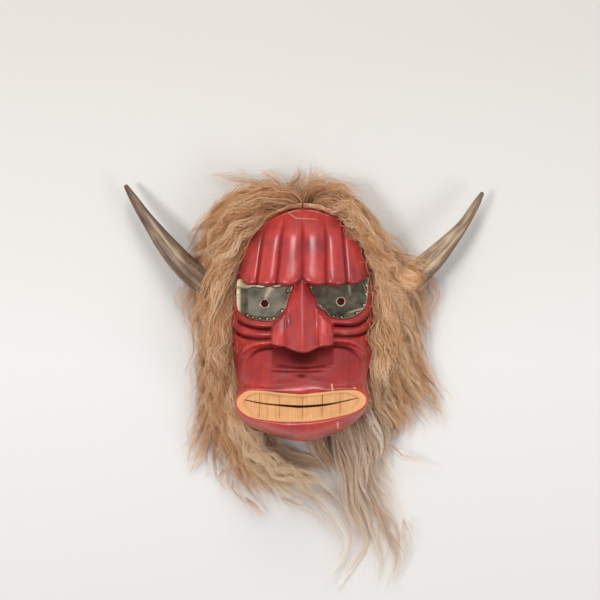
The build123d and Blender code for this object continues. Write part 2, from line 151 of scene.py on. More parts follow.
# Flutes: the lines cut between them at the brow and at the top, as (x, y) pairs.
FLUTE_CUTS = [((-83, 52), (-79, 82)), ((-56.6, 54.5), (-50.0, 112.8)), ((-31.9, 54.4), (-24.5, 127)),
              ((-1.3, 54.3), (0.3, 138)), ((28.3, 54.4), (28.0, 135)), ((53.5, 54.4), (50.6, 113)),
              ((81.8, 55), (78.0, 80))]
BROW = [(-92, 66), (-86, 62), (-80, 57.0), (-74, 52), (-68.2, 49.9), (-56.6, 50.3), (-44.5, 48.4), (-32, 50.4),
        (-17.3, 48.4), (-9, 51.5), (-1.3, 56.5), (6, 51.5), (15.9, 48.8), (28.3, 50.6), (40.6, 48.6), (53.5, 51.0),
        (62, 50.3), (73.6, 54.6), (80, 59.5), (86, 66)]
LEFT_EYE = [(-79.8, 58.5), (-83.6, 47.9), (-83.6, 27.7), (-80.1, 16.8), (-70.7, 10.2), (-61.5, 7.3), (-46.3, 5.5),
            (-35, 7), (-26.2, 14.8), (-20.3, 25.8), (-16.5, 39), (-12, 49), (-13, 60), (-50, 62), (-75, 62)]
RIGHT_EYE = [(5, 58), (7.6, 48), (12.6, 34), (17.6, 24.5), (26.4, 17.8), (33.9, 10.4), (48.1, 8), (61.3, 10),
             (71.5, 15.2), (78.6, 23.3), (81.6, 35.3), (82.4, 50.4), (82.4, 61), (70, 63), (50, 62), (25, 62)]
# Folds: centre line, height (negative is a groove), half width.
FOLDS = [([(-82, 12), (-77, 8), (-66.2, 2.6), (-47.2, 0.2), (-36, 1.0), (-28, 6)], 3.2, 3.0),
         ([(-84, 6.5), (-76, 1.5), (-64, -2.4), (-51, -4.4), (-36, -4.6)], -4.6, 2.1),
         ([(-91, 4), (-86.5, -2.4), (-78.7, -7.6), (-63.4, -10.2), (-36, -9.9)], 3.4, 2.9),
         ([(-91, -4), (-84, -10.0), (-73.6, -14.6), (-57.2, -16.6), (-36, -15.6)], -4.8, 2.2),
         ([(-36, -20.0), (-55.5, -22.2), (-69.2, -28), (-77.2, -37.4), (-81.2, -52.5), (-81.5, -68)], 13.0, 6.2),
         ([(-34, -27.6), (-51.8, -30.0), (-62.4, -36.4), (-69.4, -45.6), (-72.4, -57.1), (-73, -68)], -4.6, 2.8),
         ([(28, 7), (36.5, 4.4), (59, 4.6), (73.4, 9.9), (84, 19)], 3.2, 3.0),
         ([(36, 0.2), (63.2, -0.6), (76, 4.6), (87, 13.5)], -4.6, 2.1),
         ([(36, -6.2), (64.5, -5.9), (81.1, -1.4), (91.5, 6)], 3.4, 2.9),
         ([(36, -12.6), (63.2, -13.2), (78.5, -9.6), (92, -1)], -4.8, 2.2),
         ([(36, -17.4), (55.3, -18.6), (68.6, -24.3), (77.6, -34.3), (82.4, -50.2), (82, -66)], 13.0, 6.2),
         ([(34, -25.4), (52.8, -28.0), (64.1, -35.4), (71.6, -44.9), (74.4, -58.1), (73, -68)], -4.6, 2.8)]
LIPS = [(-80.1, -92.4), (-77.2, -84.8), (-66.5, -77.8), (-46.2, -77.9), (-28.6, -80.0), (-11, -81.4), (0, -81.8),
        (22.6, -79.5), (40.3, -77.6), (59.7, -76.9), (69.8, -79.7), (75.8, -87), (73.9, -94.8), (64.9, -102.3),
        (49.1, -107.6), (31.1, -111.4), (13, -114.2), (-3.8, -115.2), (-28.6, -114.9), (-50.7, -112.7),
        (-65.9, -108.7), (-76.2, -101.2)]
# Where the muzzle's rounded mass meets the cheeks: its outline, wider than the front's edge at the chin.
MUZZLE = [(0, -20), (-36, -24), (-54, -30), (-64.5, -37.5), (-71, -47), (-75.6, -60), (-80.6, -76.7),
          (-84.5, -93.7),
          (-80.5, -109.6), (-67.7, -122.7), (-48.5, -132), (-26, -140.3), (-0.6, -144.3), (16.9, -142.5),
          (36, -135.5), (54.5, -126), (71.3, -111.6), (81.7, -91), (79.2, -76.7), (76.4, -60), (72.6, -46),
          (66, -36),
          (54, -28), (36, -22)]
EYE_PLANE = dict(start=17.0, height=64.0, slope=math.tan(math.radians(14)))


def eye_floor(x):
    """The flat seat of the eye plates: it falls away from the nose at 14 degrees."""
    return EYE_PLANE["height"] - (np.abs(x) - EYE_PLANE["start"]) * EYE_PLANE["slope"]


def carved_front(x, y):
    """Height of the carved front over plan points, and how much dark wash and painted shade each takes, 0 to 1:
    the real wash in the cuts and creases, and painted shade under the nose, in the philtrum dent and behind the
    peepholes. A dome, 42 + 43 (1 - share^4), with flutes, folds, eye pockets, a nose and a muzzle worked into it."""
    n = RIM["power"]
    high = np.where(y > 0, RIM["top"], RIM["bottom"])
    share = np.minimum((np.abs(x / 92) ** n + np.abs(y / high) ** n) ** (1 / n), 1.02)
    dome = 42 + 43 * (1 - share**4.0)
    z = dome.copy()
    hollow = np.zeros_like(z)

    # Forehead: convex flutes between cut lines that draw together towards the top.
    up = np.clip((y - 54) / 75, -0.3, 1.2)
    cuts = [a[0] + (b[0] - a[0]) * np.clip((y - a[1]) / (b[1] - a[1]), -0.3, 1.25) for a, b in FLUTE_CUTS]
    brow_y = np.interp(x, *np.array(BROW).T)
    fade = (1 - smooth_step(0.72, 1.12, up))
    forehead = np.zeros_like(z)
    for low, top in zip(cuts, cuts[1:]):
        s = np.clip((x - low) / (top - low), 0, 1)
        across = np.minimum(s, 1 - s) * (top - low)
        crown = 1 - np.abs(2 * s - 1) ** 2.4
        forehead = np.where((s > 0) & (s < 1), crown * 5.0 - 1.6 * np.exp(-(across / 1.3) ** 2), forehead)
        cut = np.exp(-(across / 2.5) ** 2) * (0.22 + 0.4 * fade)
        hollow = np.where((s > 0) & (s < 1) & (y > brow_y - 3), cut, hollow)
    above = y - brow_y
    brow_lift = 3.5 * np.exp(-((above - 6) / 16) ** 2)
    brow_round = 5.0 * (1 - np.clip(above / 4.5, 0, 1)) ** 2.2
    z_forehead = dome + forehead * (0.25 + 0.75 * fade) + brow_lift - brow_round
    z = np.where(above > 0, z_forehead, z)

    # Cheeks: a little lower than the dome, with rounded folds and cut grooves.
    cheek = (1 - smooth_step(0, 6, above)) * (1 - smooth_step(-75, -50, -y))
    z_cheek = dome - 4.0
    for line, height, width in FOLDS:
        away, along = edge_distance(x, y, open_curve(line, 40), closed=False)
        fade_from = 0.9 if width < 2.5 else 0.25
        ends = smooth_step(0, 0.06, along) * smooth_step(1.0, fade_from, along) if height < 0 else 1.0
        z_cheek = z_cheek + height * np.exp(-(away / width) ** 2) * ends
        if height < 0:
            hollow = np.maximum(hollow, np.where(above < 0, np.exp(-(away / (width * 1.1)) ** 2) * ends, 0))
    z = np.where(above > 0, z, z_cheek)

    # Muzzle: from the lips it rolls back to the cheeks, the sides and the chin.
    angle = np.arctan2(y + 97, x + 1)
    reach = np.hypot(x + 1, y + 97)
    lip = outline_radius(np.array(LIPS) + (1, 97), angle)
    mass = outline_radius(closed_curve(np.array(MUZZLE) + (1.0, 97.0), 4), angle)
    out = np.clip((reach - lip) / (mass - lip), 0, 1.6)
    upward = smooth_step(-0.15, 0.75, np.sin(angle))
    sideways = np.abs(np.cos(angle)) ** 6
    drop = (40 - 16 * sideways) * (1 - upward) + 31 * upward
    power = 2.3 * (1 - upward) + 1.55 * upward
    muzzle = 113.5 - drop * out**power
    away = reach - lip
    roll = np.exp(-((away - 4.0) / 4.2) ** 2)
    over_lip = 2.2 * upward * np.exp(-((away - 14.5) / 5.5) ** 2) * (1 - smooth_step(45, 75, np.abs(x)))
    muzzle = muzzle + 1.0 * roll - 1.3 * np.exp(-(away / 2.2) ** 2) - over_lip
    for line, depth, width in (([(-46, -47.5), (-22, -49.4), (-1.4, -50.4), (18, -49.6), (42, -47.0)], -3.4, 1.9),
                               ([(-52, -53.8), (-28, -54.7), (-4, -55.4), (12, -55.0), (36, -52.2)], -1.8, 1.5)):
        distance, along = edge_distance(x, y, open_curve(line, 30), closed=False)
        ends = smooth_step(0, 0.22, along) * (1 - smooth_step(0.78, 1, along))
        muzzle = muzzle + depth * np.exp(-(distance / width) ** 2) * ends
        hollow = np.maximum(hollow, np.exp(-(distance / (width * 1.15)) ** 2) * ends * 0.9)
    dent = np.exp(-((x + 2) / 9.5) ** 2 - ((y + 60.3) / 3.6) ** 2)
    muzzle = muzzle - 3.0 * dent
    seam = np.exp(-((reach - mass) / 2.4) ** 2) * smooth_step(-66, -44, y)
    # The philtrum dent is painted dark as painted shade. The muzzle's upper slope is made darker, and so are the
    # cheeks towards their outer edges beside the muzzle.
    upper_muzzle_darkening = upward * smooth_step(3, 13, away) * smooth_step(1.04, 0.98, out)
    outer_cheek_darkening = smooth_step(66, 82, np.abs(x)) * smooth_step(-76, -66, y) * smooth_step(-26, -40, y)
    hollow = np.max([hollow, 0.75 * seam * smooth_step(74, 44, np.abs(x)), 0.95 * dent, 0.46 * upper_muzzle_darkening,
                     0.42 * outer_cheek_darkening], 0)
    muzzle = np.where(out > 1, muzzle - (out - 1) * 60, muzzle)
    z = np.where(y < 0, soft_max(z, muzzle, 3.0), z)

    # Eye pockets: flat seats sunk into the block.
    for eye in (LEFT_EYE, RIGHT_EYE):
        inside, _ = edge_distance(x, y, closed_curve(eye, 6))
        inside = np.where(above > 0, 5.0, inside)
        z = z + (eye_floor(x) - z) * (1 - smooth_step(-0.6, 0.9, inside))
        hollow = np.where(inside < 6, np.maximum(hollow, 0.8 * smooth_step(3.0, -1.0, inside)), hollow)

    # Painted shade behind each peephole: the pocket floor seen through it is fully dark.
    for place in ((-47.8, 27.2), (47.3, 29.7)):
        hollow = np.maximum(hollow, 1.0 * (np.hypot(x - place[0], y - place[1]) < 8))

    # Nose: a keeled body with a rounded wing at each side, ending in an overhang above the lip.
    body_half = np.interp(y, [-40, -27, -5, 20, 28, 37.6, 48.6, 57.5, 60],
                          [20, 19.8, 19.8, 19.6, 17.4, 13.8, 7.6, 1.4, 0])
    body_mid = np.interp(y, [-30, 60], [-0.9, -1.6])
    ridge = profile(y, [-42, -22, -8, 10, 28, 44, 54, 63], [128.5, 125.5, 120, 110, 99, 90, 85.5, 81.0])
    valley = profile(y, [-42, -20, 0, 20, 37, 63], [107, 103, 98, 91, 82, 76.0])
    t = np.abs(x - body_mid) / np.maximum(body_half, 0.01)
    slope = (np.sqrt(t**2 + 0.006) - 0.077) / 0.926
    body = np.where(t < 1, valley + (ridge - valley) * (1 - slope**1.25), -1e3)
    nose_hollow = 0.4 * np.exp(-((x - body_mid) / 1.8) ** 2)
    bottom = np.interp(np.abs(x + 0.8), [0, 8, 19, 20.5, 27.5, 36.5], [-31.8, -31.0, -27.2, -26.2, -25.2, -23.4])
    for side in (-1, 1):
        wing_x = (x + 0.8) * side
        top = np.interp(wing_x, [17, 19.5, 23, 28, 33.6, 36.7, 38.6], [24, 21.5, 18.5, 13.8, 7.5, 1.5, -6])
        down = np.clip((top - y) / 26, 0, 1)
        across = np.clip((wing_x - 28.4) / 10.3, -1.2, 1.2)
        across = np.where(across < 0, across * 0.45, across)
        lobe = 88 + 15 * np.sqrt(np.clip(1 - np.abs(across) ** 2.4, 0, 1)) * np.clip(down * 3.2, 0, 1) ** 0.5
        lobe = lobe - 3.0 * (1 - down) + np.interp(y, [-40, 10], [5.0, -2.0])
        wing = np.where((wing_x > 17) & (wing_x < 38.7) & (y < top), lobe, -1e3)
        body = np.where(wing > -100, soft_max(body, wing, 7.0), body)
        groove = np.exp(-((wing_x - 19.8) / 1.9) ** 2) * smooth_step(24, 14, y) * (y > -32)
        body = body - 1.1 * groove
        nose_hollow = np.maximum(nose_hollow, 0.42 * groove)
    body = body - 3.0 * smooth_step(2.2, 0.0, y - bottom)
    nose = np.where(y > bottom, body, -1e3)
    edge = nose > z
    z = np.where(edge, nose, z)
    hollow = np.where(edge, nose_hollow, hollow)
    # Painted shadow of the nose: a dark patch on the upper lip as wide as the nose, darkest in its middle just
    # below it.
    under = (~edge & (y < bottom)) * smooth_step(39.8, 37.4, np.abs(x + 0.6)) * smooth_step(-50.5, -47.0, y)
    nose_shadow_core = np.exp(-((x + 2) / 24) ** 2) * smooth_step(-52, -38, y)
    hollow = np.maximum(hollow, (0.66 + 0.3 * nose_shadow_core) * under)

    # Mouth: the pocket that the tooth panel sits in.
    inside, _ = edge_distance(x, y, closed_curve(LIPS, 4))
    z = z - 1.1 * np.exp(-(inside / 1.3) ** 2)
    pocket = 1 - smooth_step(-2.6, -0.9, inside)
    z = z + (101.5 - z) * pocket
    return z, np.clip(hollow, 0, 1)


def mesh_object(name, points, faces, uv=None, smooth=True):
    """A mesh object from points in millimetres and a list of face arrays, with optional UVs for the corners."""
    mesh = bpy.data.meshes.new(name)
    points = np.asarray(points, float) / 1000
    faces = [np.asarray(group) for group in faces]
    loops = np.concatenate([group.ravel() for group in faces])
    sizes = np.concatenate([np.full(len(group), group.shape[1]) for group in faces])
    starts = np.concatenate([[0], np.cumsum(sizes)[:-1]])
    mesh.vertices.add(len(points))
    mesh.vertices.foreach_set("co", points.ravel())
    mesh.loops.add(len(loops))
    mesh.loops.foreach_set("vertex_index", loops.astype(np.int32))
    mesh.polygons.add(len(sizes))
    mesh.polygons.foreach_set("loop_start", starts.astype(np.int32))
    mesh.polygons.foreach_set("use_smooth", np.full(len(sizes), smooth))
    mesh.update(calc_edges=True)
    if uv is not None:
        layer = mesh.uv_layers.new(name="OFBake")
        layer.uv.foreach_set("vector", np.asarray(uv, float).ravel())
    obj = bpy.data.objects.new(name, mesh)
    bpy.context.scene.collection.objects.link(obj)
    return obj


def grid_faces(rows, columns, wrap=False, first=0):
    """Quads over a grid of points stored row by row. With wrap, the last column joins the first."""
    r, c = np.meshgrid(np.arange(rows - 1), np.arange(columns if wrap else columns - 1), indexing="ij")
    after = (c + 1) % columns
    a, b = r * columns + c, r * columns + after
    return np.stack([a, b, b + columns, a + columns], -1).reshape(-1, 4) + first


def plan_disc(across, down):
    """A grid of directions and shares (0 at the middle, 1 at the edge) that fills a round plan evenly: the square
    grid (u, v) becomes (u sqrt(1 - v^2 / 2), v sqrt(1 - u^2 / 2))."""
    v, u = np.meshgrid(np.linspace(-1, 1, down), np.linspace(-1, 1, across), indexing="ij")
    x, y = u * np.sqrt(1 - v**2 / 2), v * np.sqrt(1 - u**2 / 2)
    return np.arctan2(y, x), np.hypot(x, y)


ACROSS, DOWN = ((201, 301))
angle, share = plan_disc(ACROSS, DOWN)
edge = np.array(FRONT_EDGE, float)
edge_angle = np.arctan2(edge[:, 1], edge[:, 0])
order = np.argsort(edge_angle)
edge_radius = np.hypot(edge[order, 0], edge[order, 1])
front_radius = periodic_curve(edge_angle[order], edge_radius, angle)
front_x, front_y = share * front_radius * np.cos(angle), share * front_radius * np.sin(angle)
front_z, hollow = carved_front(front_x, front_y)
edge_height = periodic_curve(edge_angle[order], edge[order, 2], angle)
to_edge = np.maximum(1 - share, 0) * front_radius
blend_in = np.exp(-(to_edge / 4.0) ** 1.5) * smooth_step(-85, -60, front_y)
front_z = front_z + (np.minimum(edge_height, front_z) - front_z) * blend_in
front = np.stack([front_x, front_y, front_z], -1)

index = np.arange(ACROSS * DOWN).reshape(DOWN, ACROSS)
loop = np.concatenate([index[0, :-1], index[:-1, -1], index[-1, :0:-1], index[:0:-1, 0]])
loop_points = front.reshape(-1, 3)[loop]
loop_angle = np.arctan2(loop_points[:, 1], loop_points[:, 0])


def rim_ring(inset, height):
    radius = rim_radius(loop_angle, inset)
    return np.stack([radius * np.cos(loop_angle), radius * np.sin(loop_angle),
                     np.broadcast_to(height, radius.shape)], 1)


wall_top = np.minimum(loop_points[:, 2] - 6, 39.0)
rings = []
for t in (0.08, 0.25, 0.5, 0.75, 1.0):
    target = rim_ring(0, wall_top)
    bulge = 0.35 * math.sin(math.pi * t)
    flat = loop_points[:, :2] + (target[:, :2] - loop_points[:, :2]) * (t**1.4)
    height = loop_points[:, 2] + (target[:, 2] - loop_points[:, 2]) * t ** (1 - bulge)
    rings.append(np.column_stack([flat, height]))
rings += [rim_ring(0, h) for h in (26.0, 13.0, 1.2)]
rings += [rim_ring(0.4, 0.3), rim_ring(1.2, 0.0), rim_ring(11.8, 0.0), rim_ring(12.8, 0.6), rim_ring(13.6, 3.0),
          rim_ring(16, 14.0), rim_ring(19, 25.0), rim_ring(25, 34.0), rim_ring(35, 42.0), rim_ring(44, 46.8),
          rim_ring(55, 50.0), rim_ring(68, 50.8), rim_ring(80, 51.0)]
points = np.concatenate([front.reshape(-1, 3)] + rings + [[[0, 0, 51.0]]])
count = len(loop)
first = ACROSS * DOWN
ring_index = np.concatenate([loop[None], first + np.arange(len(rings) * count).reshape(-1, count)])
walls = []
for upper, lower in zip(ring_index, ring_index[1:]):
    walls.append(np.stack([upper, np.roll(upper, -1), np.roll(lower, -1), lower], 1)[:, ::-1])
last = ring_index[-1]
fan = np.stack([last, np.roll(last, -1), np.full(count, len(points) - 1)], 1)[:, ::-1]
front_faces = grid_faces(DOWN, ACROSS)
shell = mesh_object("carved_shell", points, [front_faces, np.concatenate(walls), fan])


def paint_points(obj, name, values, rest=0.0):
    """Stores one number a point: the given values for the first points and rest for the others."""
    everything = np.full(len(obj.data.vertices), float(rest))
    everything[:values.size] = values.ravel()
    obj.data.attributes.new(name, "FLOAT", "POINT").data.foreach_set("value", everything)


chipped = np.zeros_like(front_x)
for scratch in ([(34.5, -70.5), (35.5, -77.5)], [(41.5, -116.5), (42.5, -124)], [(61, -74), (63, -74.5)]):
    distance, _ = edge_distance(front_x, front_y, scratch, closed=False)
    chipped = np.maximum(chipped, np.exp(-(distance / 0.75) ** 2))
for name, values in (("hollow", hollow), ("chipped", chipped)):
    paint_points(shell, name, values)


def linear(hex_colour):
    """An sRGB hex colour as linear red, green, blue and alpha."""
    parts = [int(hex_colour[i:i + 2], 16) / 255 for i in (1, 3, 5)]
    return [c / 12.92 if c <= 0.04045 else ((c + 0.055) / 1.055) ** 2.4 for c in parts] + [1.0]


def new_material(name):
    material = bpy.data.materials.new(name)
    material.use_nodes = True
    material.node_tree.nodes.clear()
    return material


BLEND = {"data_type": "RGBA", "blend_type": "MIX"}
MULTIPLY = {"data_type": "RGBA", "blend_type": "MULTIPLY"}


def add(material, kind, settings=None, **links):
    """Adds a node. Settings are its properties, its inputs' values by name or number, or a colour ramp's stops,
    with colours as hex. Each link is an input's name, or _ and its number, and the socket that feeds it."""
    made = material.node_tree.nodes.new("ShaderNode" + kind)
    for key, value in (settings or {}).items():
        value = linear(value) if isinstance(value, str) and value.startswith("#") else value
        if key == "stops":
            elements = made.color_ramp.elements
            while len(elements) < len(value):
                elements.new(0.5)
            for element, (place, colour) in zip(elements, value):
                element.position, element.color = place, linear(colour)
        elif isinstance(key, str) and hasattr(made, key):
            setattr(made, key, value)
        else:
            made.inputs[key].default_value = value
    for key, socket in links.items():
        name = int(key[1:]) if key[0] == "_" else key.replace("_", " ")
        material.node_tree.links.new(socket, made.inputs[name])
    return made


def finish_material(material, shader):
    output = material.node_tree.nodes.new("ShaderNodeOutputMaterial")
    material.node_tree.links.new(shader.outputs[0], output.inputs["Surface"])


# Oil paint over wood, waxed: bright red on the high places, brown and grey wash in the cuts, soft gloss. The same
# dark colour is also laid as painted shade under the nose, in the philtrum dent and behind the peepholes.
paint = new_material("waxed red paint")
where = add(paint, "TexCoord").outputs["Object"]
wash_and_shade_amount = add(paint, "Attribute", {"attribute_name": "hollow"}).outputs["Fac"]
cloud = add(paint, "TexNoise", {"Scale": 28.0, "Detail": 5.0, "Roughness": 0.6}, Vector=where).outputs["Fac"]
streak_place = add(paint, "Mapping", {"Scale": (260.0, 36.0, 36.0)}, Vector=where).outputs[0]
streak = add(paint, "TexNoise", {"Scale": 1.0, "Detail": 4.0}, Vector=streak_place).outputs["Fac"]
reds = [(0.30, "#842325"), (0.47, "#A93030"), (0.60, "#BC3631"), (0.78, "#C24432")]
red = add(paint, "ValToRGB", {"stops": reds}, Fac=cloud).outputs[0]
faded = add(paint, "ValToRGB", {"stops": [(0.3, "#A58C88"), (0.7, "#FFFFFF")]}, Fac=streak).outputs[0]
red = add(paint, "Mix", {**MULTIPLY, 0: 0.35}, _6=red, _7=faded).outputs[2]
wash_edge = add(paint, "Math", {"operation": "MULTIPLY_ADD", 1: 0.55, 2: -0.22}, _0=cloud).outputs[0]
wash_and_shade_value = add(paint, "Math", {"operation": "ADD"}, _0=wash_and_shade_amount, _1=wash_edge).outputs[0]
wash_and_shade_mix = add(paint, "ValToRGB", {"stops": [(0.28, "#000000"), (0.62, "#A8A8A8"), (1.0, "#F2F2F2")]},
           Fac=wash_and_shade_value).outputs[0]
# The dark wash colour: real wash in the cuts, and painted shade under the nose, in the philtrum dent and behind
# the peepholes.
colour = add(paint, "Mix", {**BLEND, 7: "#3A1513"}, _0=wash_and_shade_mix, _6=red).outputs[2]
chip = add(paint, "Attribute", {"attribute_name": "chipped"}).outputs["Fac"]
colour = add(paint, "Mix", {**BLEND, 7: "#E8B486"}, _0=chip, _6=colour).outputs[2]
gloss = add(paint, "ValToRGB", {"stops": [(0.2, "#A0A0A0"), (0.8, "#B4B4B4")]}, Fac=streak).outputs[0]
bump = add(paint, "Bump", {"Strength": 0.06, "Distance": 0.0006}, Height=streak).outputs[0]
gloss = add(paint, "Math", {"operation": "MULTIPLY_ADD", 1: 0.5}, _0=wash_and_shade_mix, _2=gloss).outputs[0]
coat = add(paint, "MapRange", {1: 0.0, 2: 0.25, 3: 0.62, 4: 0.0}, _0=wash_and_shade_mix).outputs[0]
dull = add(paint, "MapRange", {1: 0.0, 2: 0.8, 3: 0.5, 4: 0.1}, _0=wash_and_shade_mix).outputs[0]
waxed = add(paint, "BsdfPrincipled", {"Coat Roughness": 0.24, "IOR": 1.45}, Base_Color=colour, Roughness=gloss,
            Normal=bump, Coat_Weight=coat, Specular_IOR_Level=dull)
finish_material(paint, waxed)


def fit_piece(obj, material, node=None):
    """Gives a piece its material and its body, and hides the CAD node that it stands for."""
    obj.data.materials.append(material)
    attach(obj, "root")
    if node:
        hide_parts(node)


fit_piece(shell, paint, "mask_shell")

# ---- Tooth panel ----
# A separate board of the same pale wood, left bare: its flat rim meets the lips, the teeth are sunk a little
# inside the rim and parted by knife cuts, and a narrow mouth slit is sunk deep into it and painted dark as painted
# shade.
SLIT = [(-72.5, -88.6), (-70.4, -88.8), (-48.9, -93.1), (-28.6, -95.3), (-11, -96.7), (-0.6, -97), (22.7, -95.3),
        (34.1, -93.6), (50.3, -90.2), (66, -86.6), (68, -86.2)]
TOOTH_CUTS = (-52.5, -28.6, -0.6, 23.0, 44.9)
WIDE_CUT = 23.0
PANEL_FRONT, PANEL_BACK = 113.3, 101.6


def slab(name, top, bottom, uv=None):
    """A closed sheet between two grids of points of the same shape, joined round their edges."""
    rows, columns = top.shape[:2]
    index = np.arange(rows * columns).reshape(rows, columns)
    loop = np.concatenate([index[0, :-1], index[:-1, -1], index[-1, :0:-1], index[:0:-1, 0]])
    after = np.roll(loop, -1)
    over = grid_faces(rows, columns)
    under = over[:, ::-1] + rows * columns
    walls = np.stack([loop, loop + rows * columns, after + rows * columns, after], 1)
    return mesh_object(name, np.concatenate([top.reshape(-1, 3), bottom.reshape(-1, 3)]), [over, under, walls], uv)


lips = closed_curve(LIPS, 10)
left_end, right_end = lips[:, 0].min() + 0.15, lips[:, 0].max() - 0.15
columns = 420
panel_x = (left_end + right_end) / 2 - (right_end - left_end) / 2 * np.cos(np.linspace(0, math.pi, columns))
panel_x = 0.35 * panel_x + 0.65 * np.linspace(left_end, right_end, columns)
corner_low, corner_high = lips[:, 0].argmin(), lips[:, 0].argmax()
turned = np.roll(lips, -corner_low, 0)
split = (corner_high - corner_low) % len(lips)
upper, lower = turned[:split + 1], np.concatenate([turned[split:], turned[:1]])[::-1]
high_y = np.interp(panel_x, upper[:, 0], upper[:, 1])
low_y = np.interp(panel_x, lower[:, 0], lower[:, 1])
slit_line = open_curve(SLIT, 80)
slit_y = np.clip(np.interp(panel_x, *slit_line.T), low_y + 0.3, high_y - 0.3)
v = np.linspace(-1, 1, 75)
v = np.sign(v) * (0.12 * np.abs(v) + 0.88 * np.abs(v) ** 1.5)
x = np.broadcast_to(panel_x, (len(v), columns))
y = np.where(v[:, None] > 0, slit_y + (high_y - slit_y) * v[:, None], slit_y + (slit_y - low_y) * v[:, None])
rim_away, _ = edge_distance(x, y, closed_curve(LIPS, 6))
corner = smooth_step(50, 78, np.abs(x + 2))
rim_width = 2.9 + 6.0 * corner
inside = smooth_step(0, 0.7, -rim_away - rim_width + 0.5 * np.sin(x * 0.9) * corner)
z = PANEL_FRONT - 0.4 * smooth_step(1.5, 0.0, -rim_away) - 1.6 * inside
cuts = np.zeros_like(z)
for place in TOOTH_CUTS:
    lean = place + 0.012 * (y + 97)
    cuts = np.maximum(cuts, np.exp(-((x - lean) / (0.42 if place != WIDE_CUT else 0.6)) ** 2) * inside)
z = z - 0.9 * cuts
dark_cut = 1 + 0.9 * ((np.abs(x - WIDE_CUT) < 3) & (y > slit_y))
open_width = np.interp(x, [-72, -66, -30, -5, 22, 50, 64, 68], [0.2, 0.7, 0.95, 1.35, 1.15, 0.8, 0.55, 0.2])
in_slit = 1 - smooth_step(open_width * 0.8, open_width * 1.25, np.abs(y - slit_y))
in_slit = in_slit * smooth_step(-73, -69, x) * (1 - smooth_step(65.5, 68, x))
z = z - in_slit * np.interp(x, [-72, -40, -10, 20, 50, 68], [2.5, 6, 9, 9, 5, 2.5])
rough = 0.10 * np.sin(x * 1.7 + 2 * np.sin(x * 0.31)) + 0.07 * np.sin(x * 4.1 + y * 0.1)
z = z + rough * inside
panel = slab("tooth_panel_board", np.stack([x, y, z], -1), np.stack([x, y, np.full_like(x, PANEL_BACK)], -1))
# Painted shade in the mouth slit, darkest in its middle; the knife cuts between the teeth are darker too, most at
# the wide cut above the slit.
slit_painted_shade = in_slit * (0.55 + 0.45 * smooth_step(45, 25, np.abs(x - 3)))
paint_points(panel, "cut", np.maximum(slit_painted_shade, 0.42 * cuts * dark_cut))
paint_points(panel, "rim", (1 - inside) * (0.35 + 0.65 * corner))

# Bare basswood with upright grain, a little yellow, darker in the knife cuts between the teeth, and painted dark
# in the mouth slit as painted shade.
bare = new_material("bare basswood")
where = add(bare, "TexCoord").outputs["Object"]
grain_place = add(bare, "Mapping", {"Scale": (900.0, 26.0, 60.0)}, Vector=where).outputs[0]
grain = add(bare, "TexNoise", {"Scale": 1.0, "Detail": 4.0, "Roughness": 0.65}, Vector=grain_place).outputs["Fac"]
cloud = add(bare, "TexNoise", {"Scale": 55.0, "Detail": 3.0}, Vector=where).outputs["Fac"]
woods = [(0.28, "#C08A58"), (0.45, "#CF9A68"), (0.6, "#D8A674"), (0.8, "#E0B284")]
wood = add(bare, "ValToRGB", {"stops": woods}, Fac=grain).outputs[0]
tint = add(bare, "ValToRGB", {"stops": [(0.35, "#E8D2BC"), (0.65, "#FFFFFF")]}, Fac=cloud).outputs[0]
wood = add(bare, "Mix", {**MULTIPLY, 0: 0.6}, _6=wood, _7=tint).outputs[2]
rim_value = add(bare, "Attribute", {"attribute_name": "rim"}).outputs["Fac"]
rim_share = add(bare, "Math", {"operation": "MULTIPLY", 1: 0.5}, _0=rim_value).outputs[0]
wood = add(bare, "Mix", {**BLEND, 7: "#E39D6C"}, _0=rim_share, _6=wood).outputs[2]
slit_shade_and_cut_value = add(bare, "Attribute", {"attribute_name": "cut"}).outputs["Fac"]
wood = add(bare, "Mix", {**BLEND, 7: "#2A1208"}, _0=slit_shade_and_cut_value, _6=wood).outputs[2]
bump = add(bare, "Bump", {"Strength": 0.25, "Distance": 0.0004}, Height=grain).outputs[0]
finish_material(bare, add(bare, "BsdfPrincipled", {"Roughness": 0.62, "Specular IOR Level": 0.3}, Base_Color=wood,
                          Normal=bump))
fit_piece(panel, bare, "tooth_panel")

# ---- Eye plates and their nails ----
# Thin tinplate cut with snips, dished a little by hand and dull with age. The edges are crimped where small nails
# hold them, and each peephole was punched from the back, which left a burr.
LEFT_PLATE = [(-79.8, 57.5), (-83.1, 47.9), (-83.3, 27.7), (-80.1, 16.8), (-70.7, 10.2), (-61.5, 7.3),
              (-46.3, 5.7),
              (-35, 7.2), (-26.2, 15.3), (-20.3, 25.8), (-16.6, 39), (-13.2, 49), (-24, 53), (-40, 54), (-62, 54)]
RIGHT_PLATE = [(5.4, 54.2), (9.0, 46), (13.9, 32.5), (18.8, 24), (27.6, 18.2), (35.1, 10.2), (48.1, 8.3),
               (61.3, 10.3),
               (71.3, 15.6), (78.4, 23.6), (81.2, 35.5), (81.8, 50.4), (81.8, 60), (66, 58), (46, 54), (24, 54)]
LEFT_NAILS = [(-69.6, 11.9), (-63.0, 9.6), (-53.8, 8.1), (-44.7, 7.9), (-36.6, 8.6), (-25.9, 17.9), (-18.6, 43.0),
              (-81.0, 36.0)]
RIGHT_NAILS = [(10.2, 47.0), (21.6, 24.2), (38.4, 10.6), (48.1, 10.1), (68.1, 15.2), (80.0, 49.8), (79.5, 39.0),
               (76.8, 25.0)]
PEEPHOLES = {"left": (-47.8, 27.2), "right": (47.3, 29.7)}
TIN_GAUGE = 0.6
NAIL_HEAD_RADIUS, NAIL_HEAD_HEIGHT = 1.35, 0.9


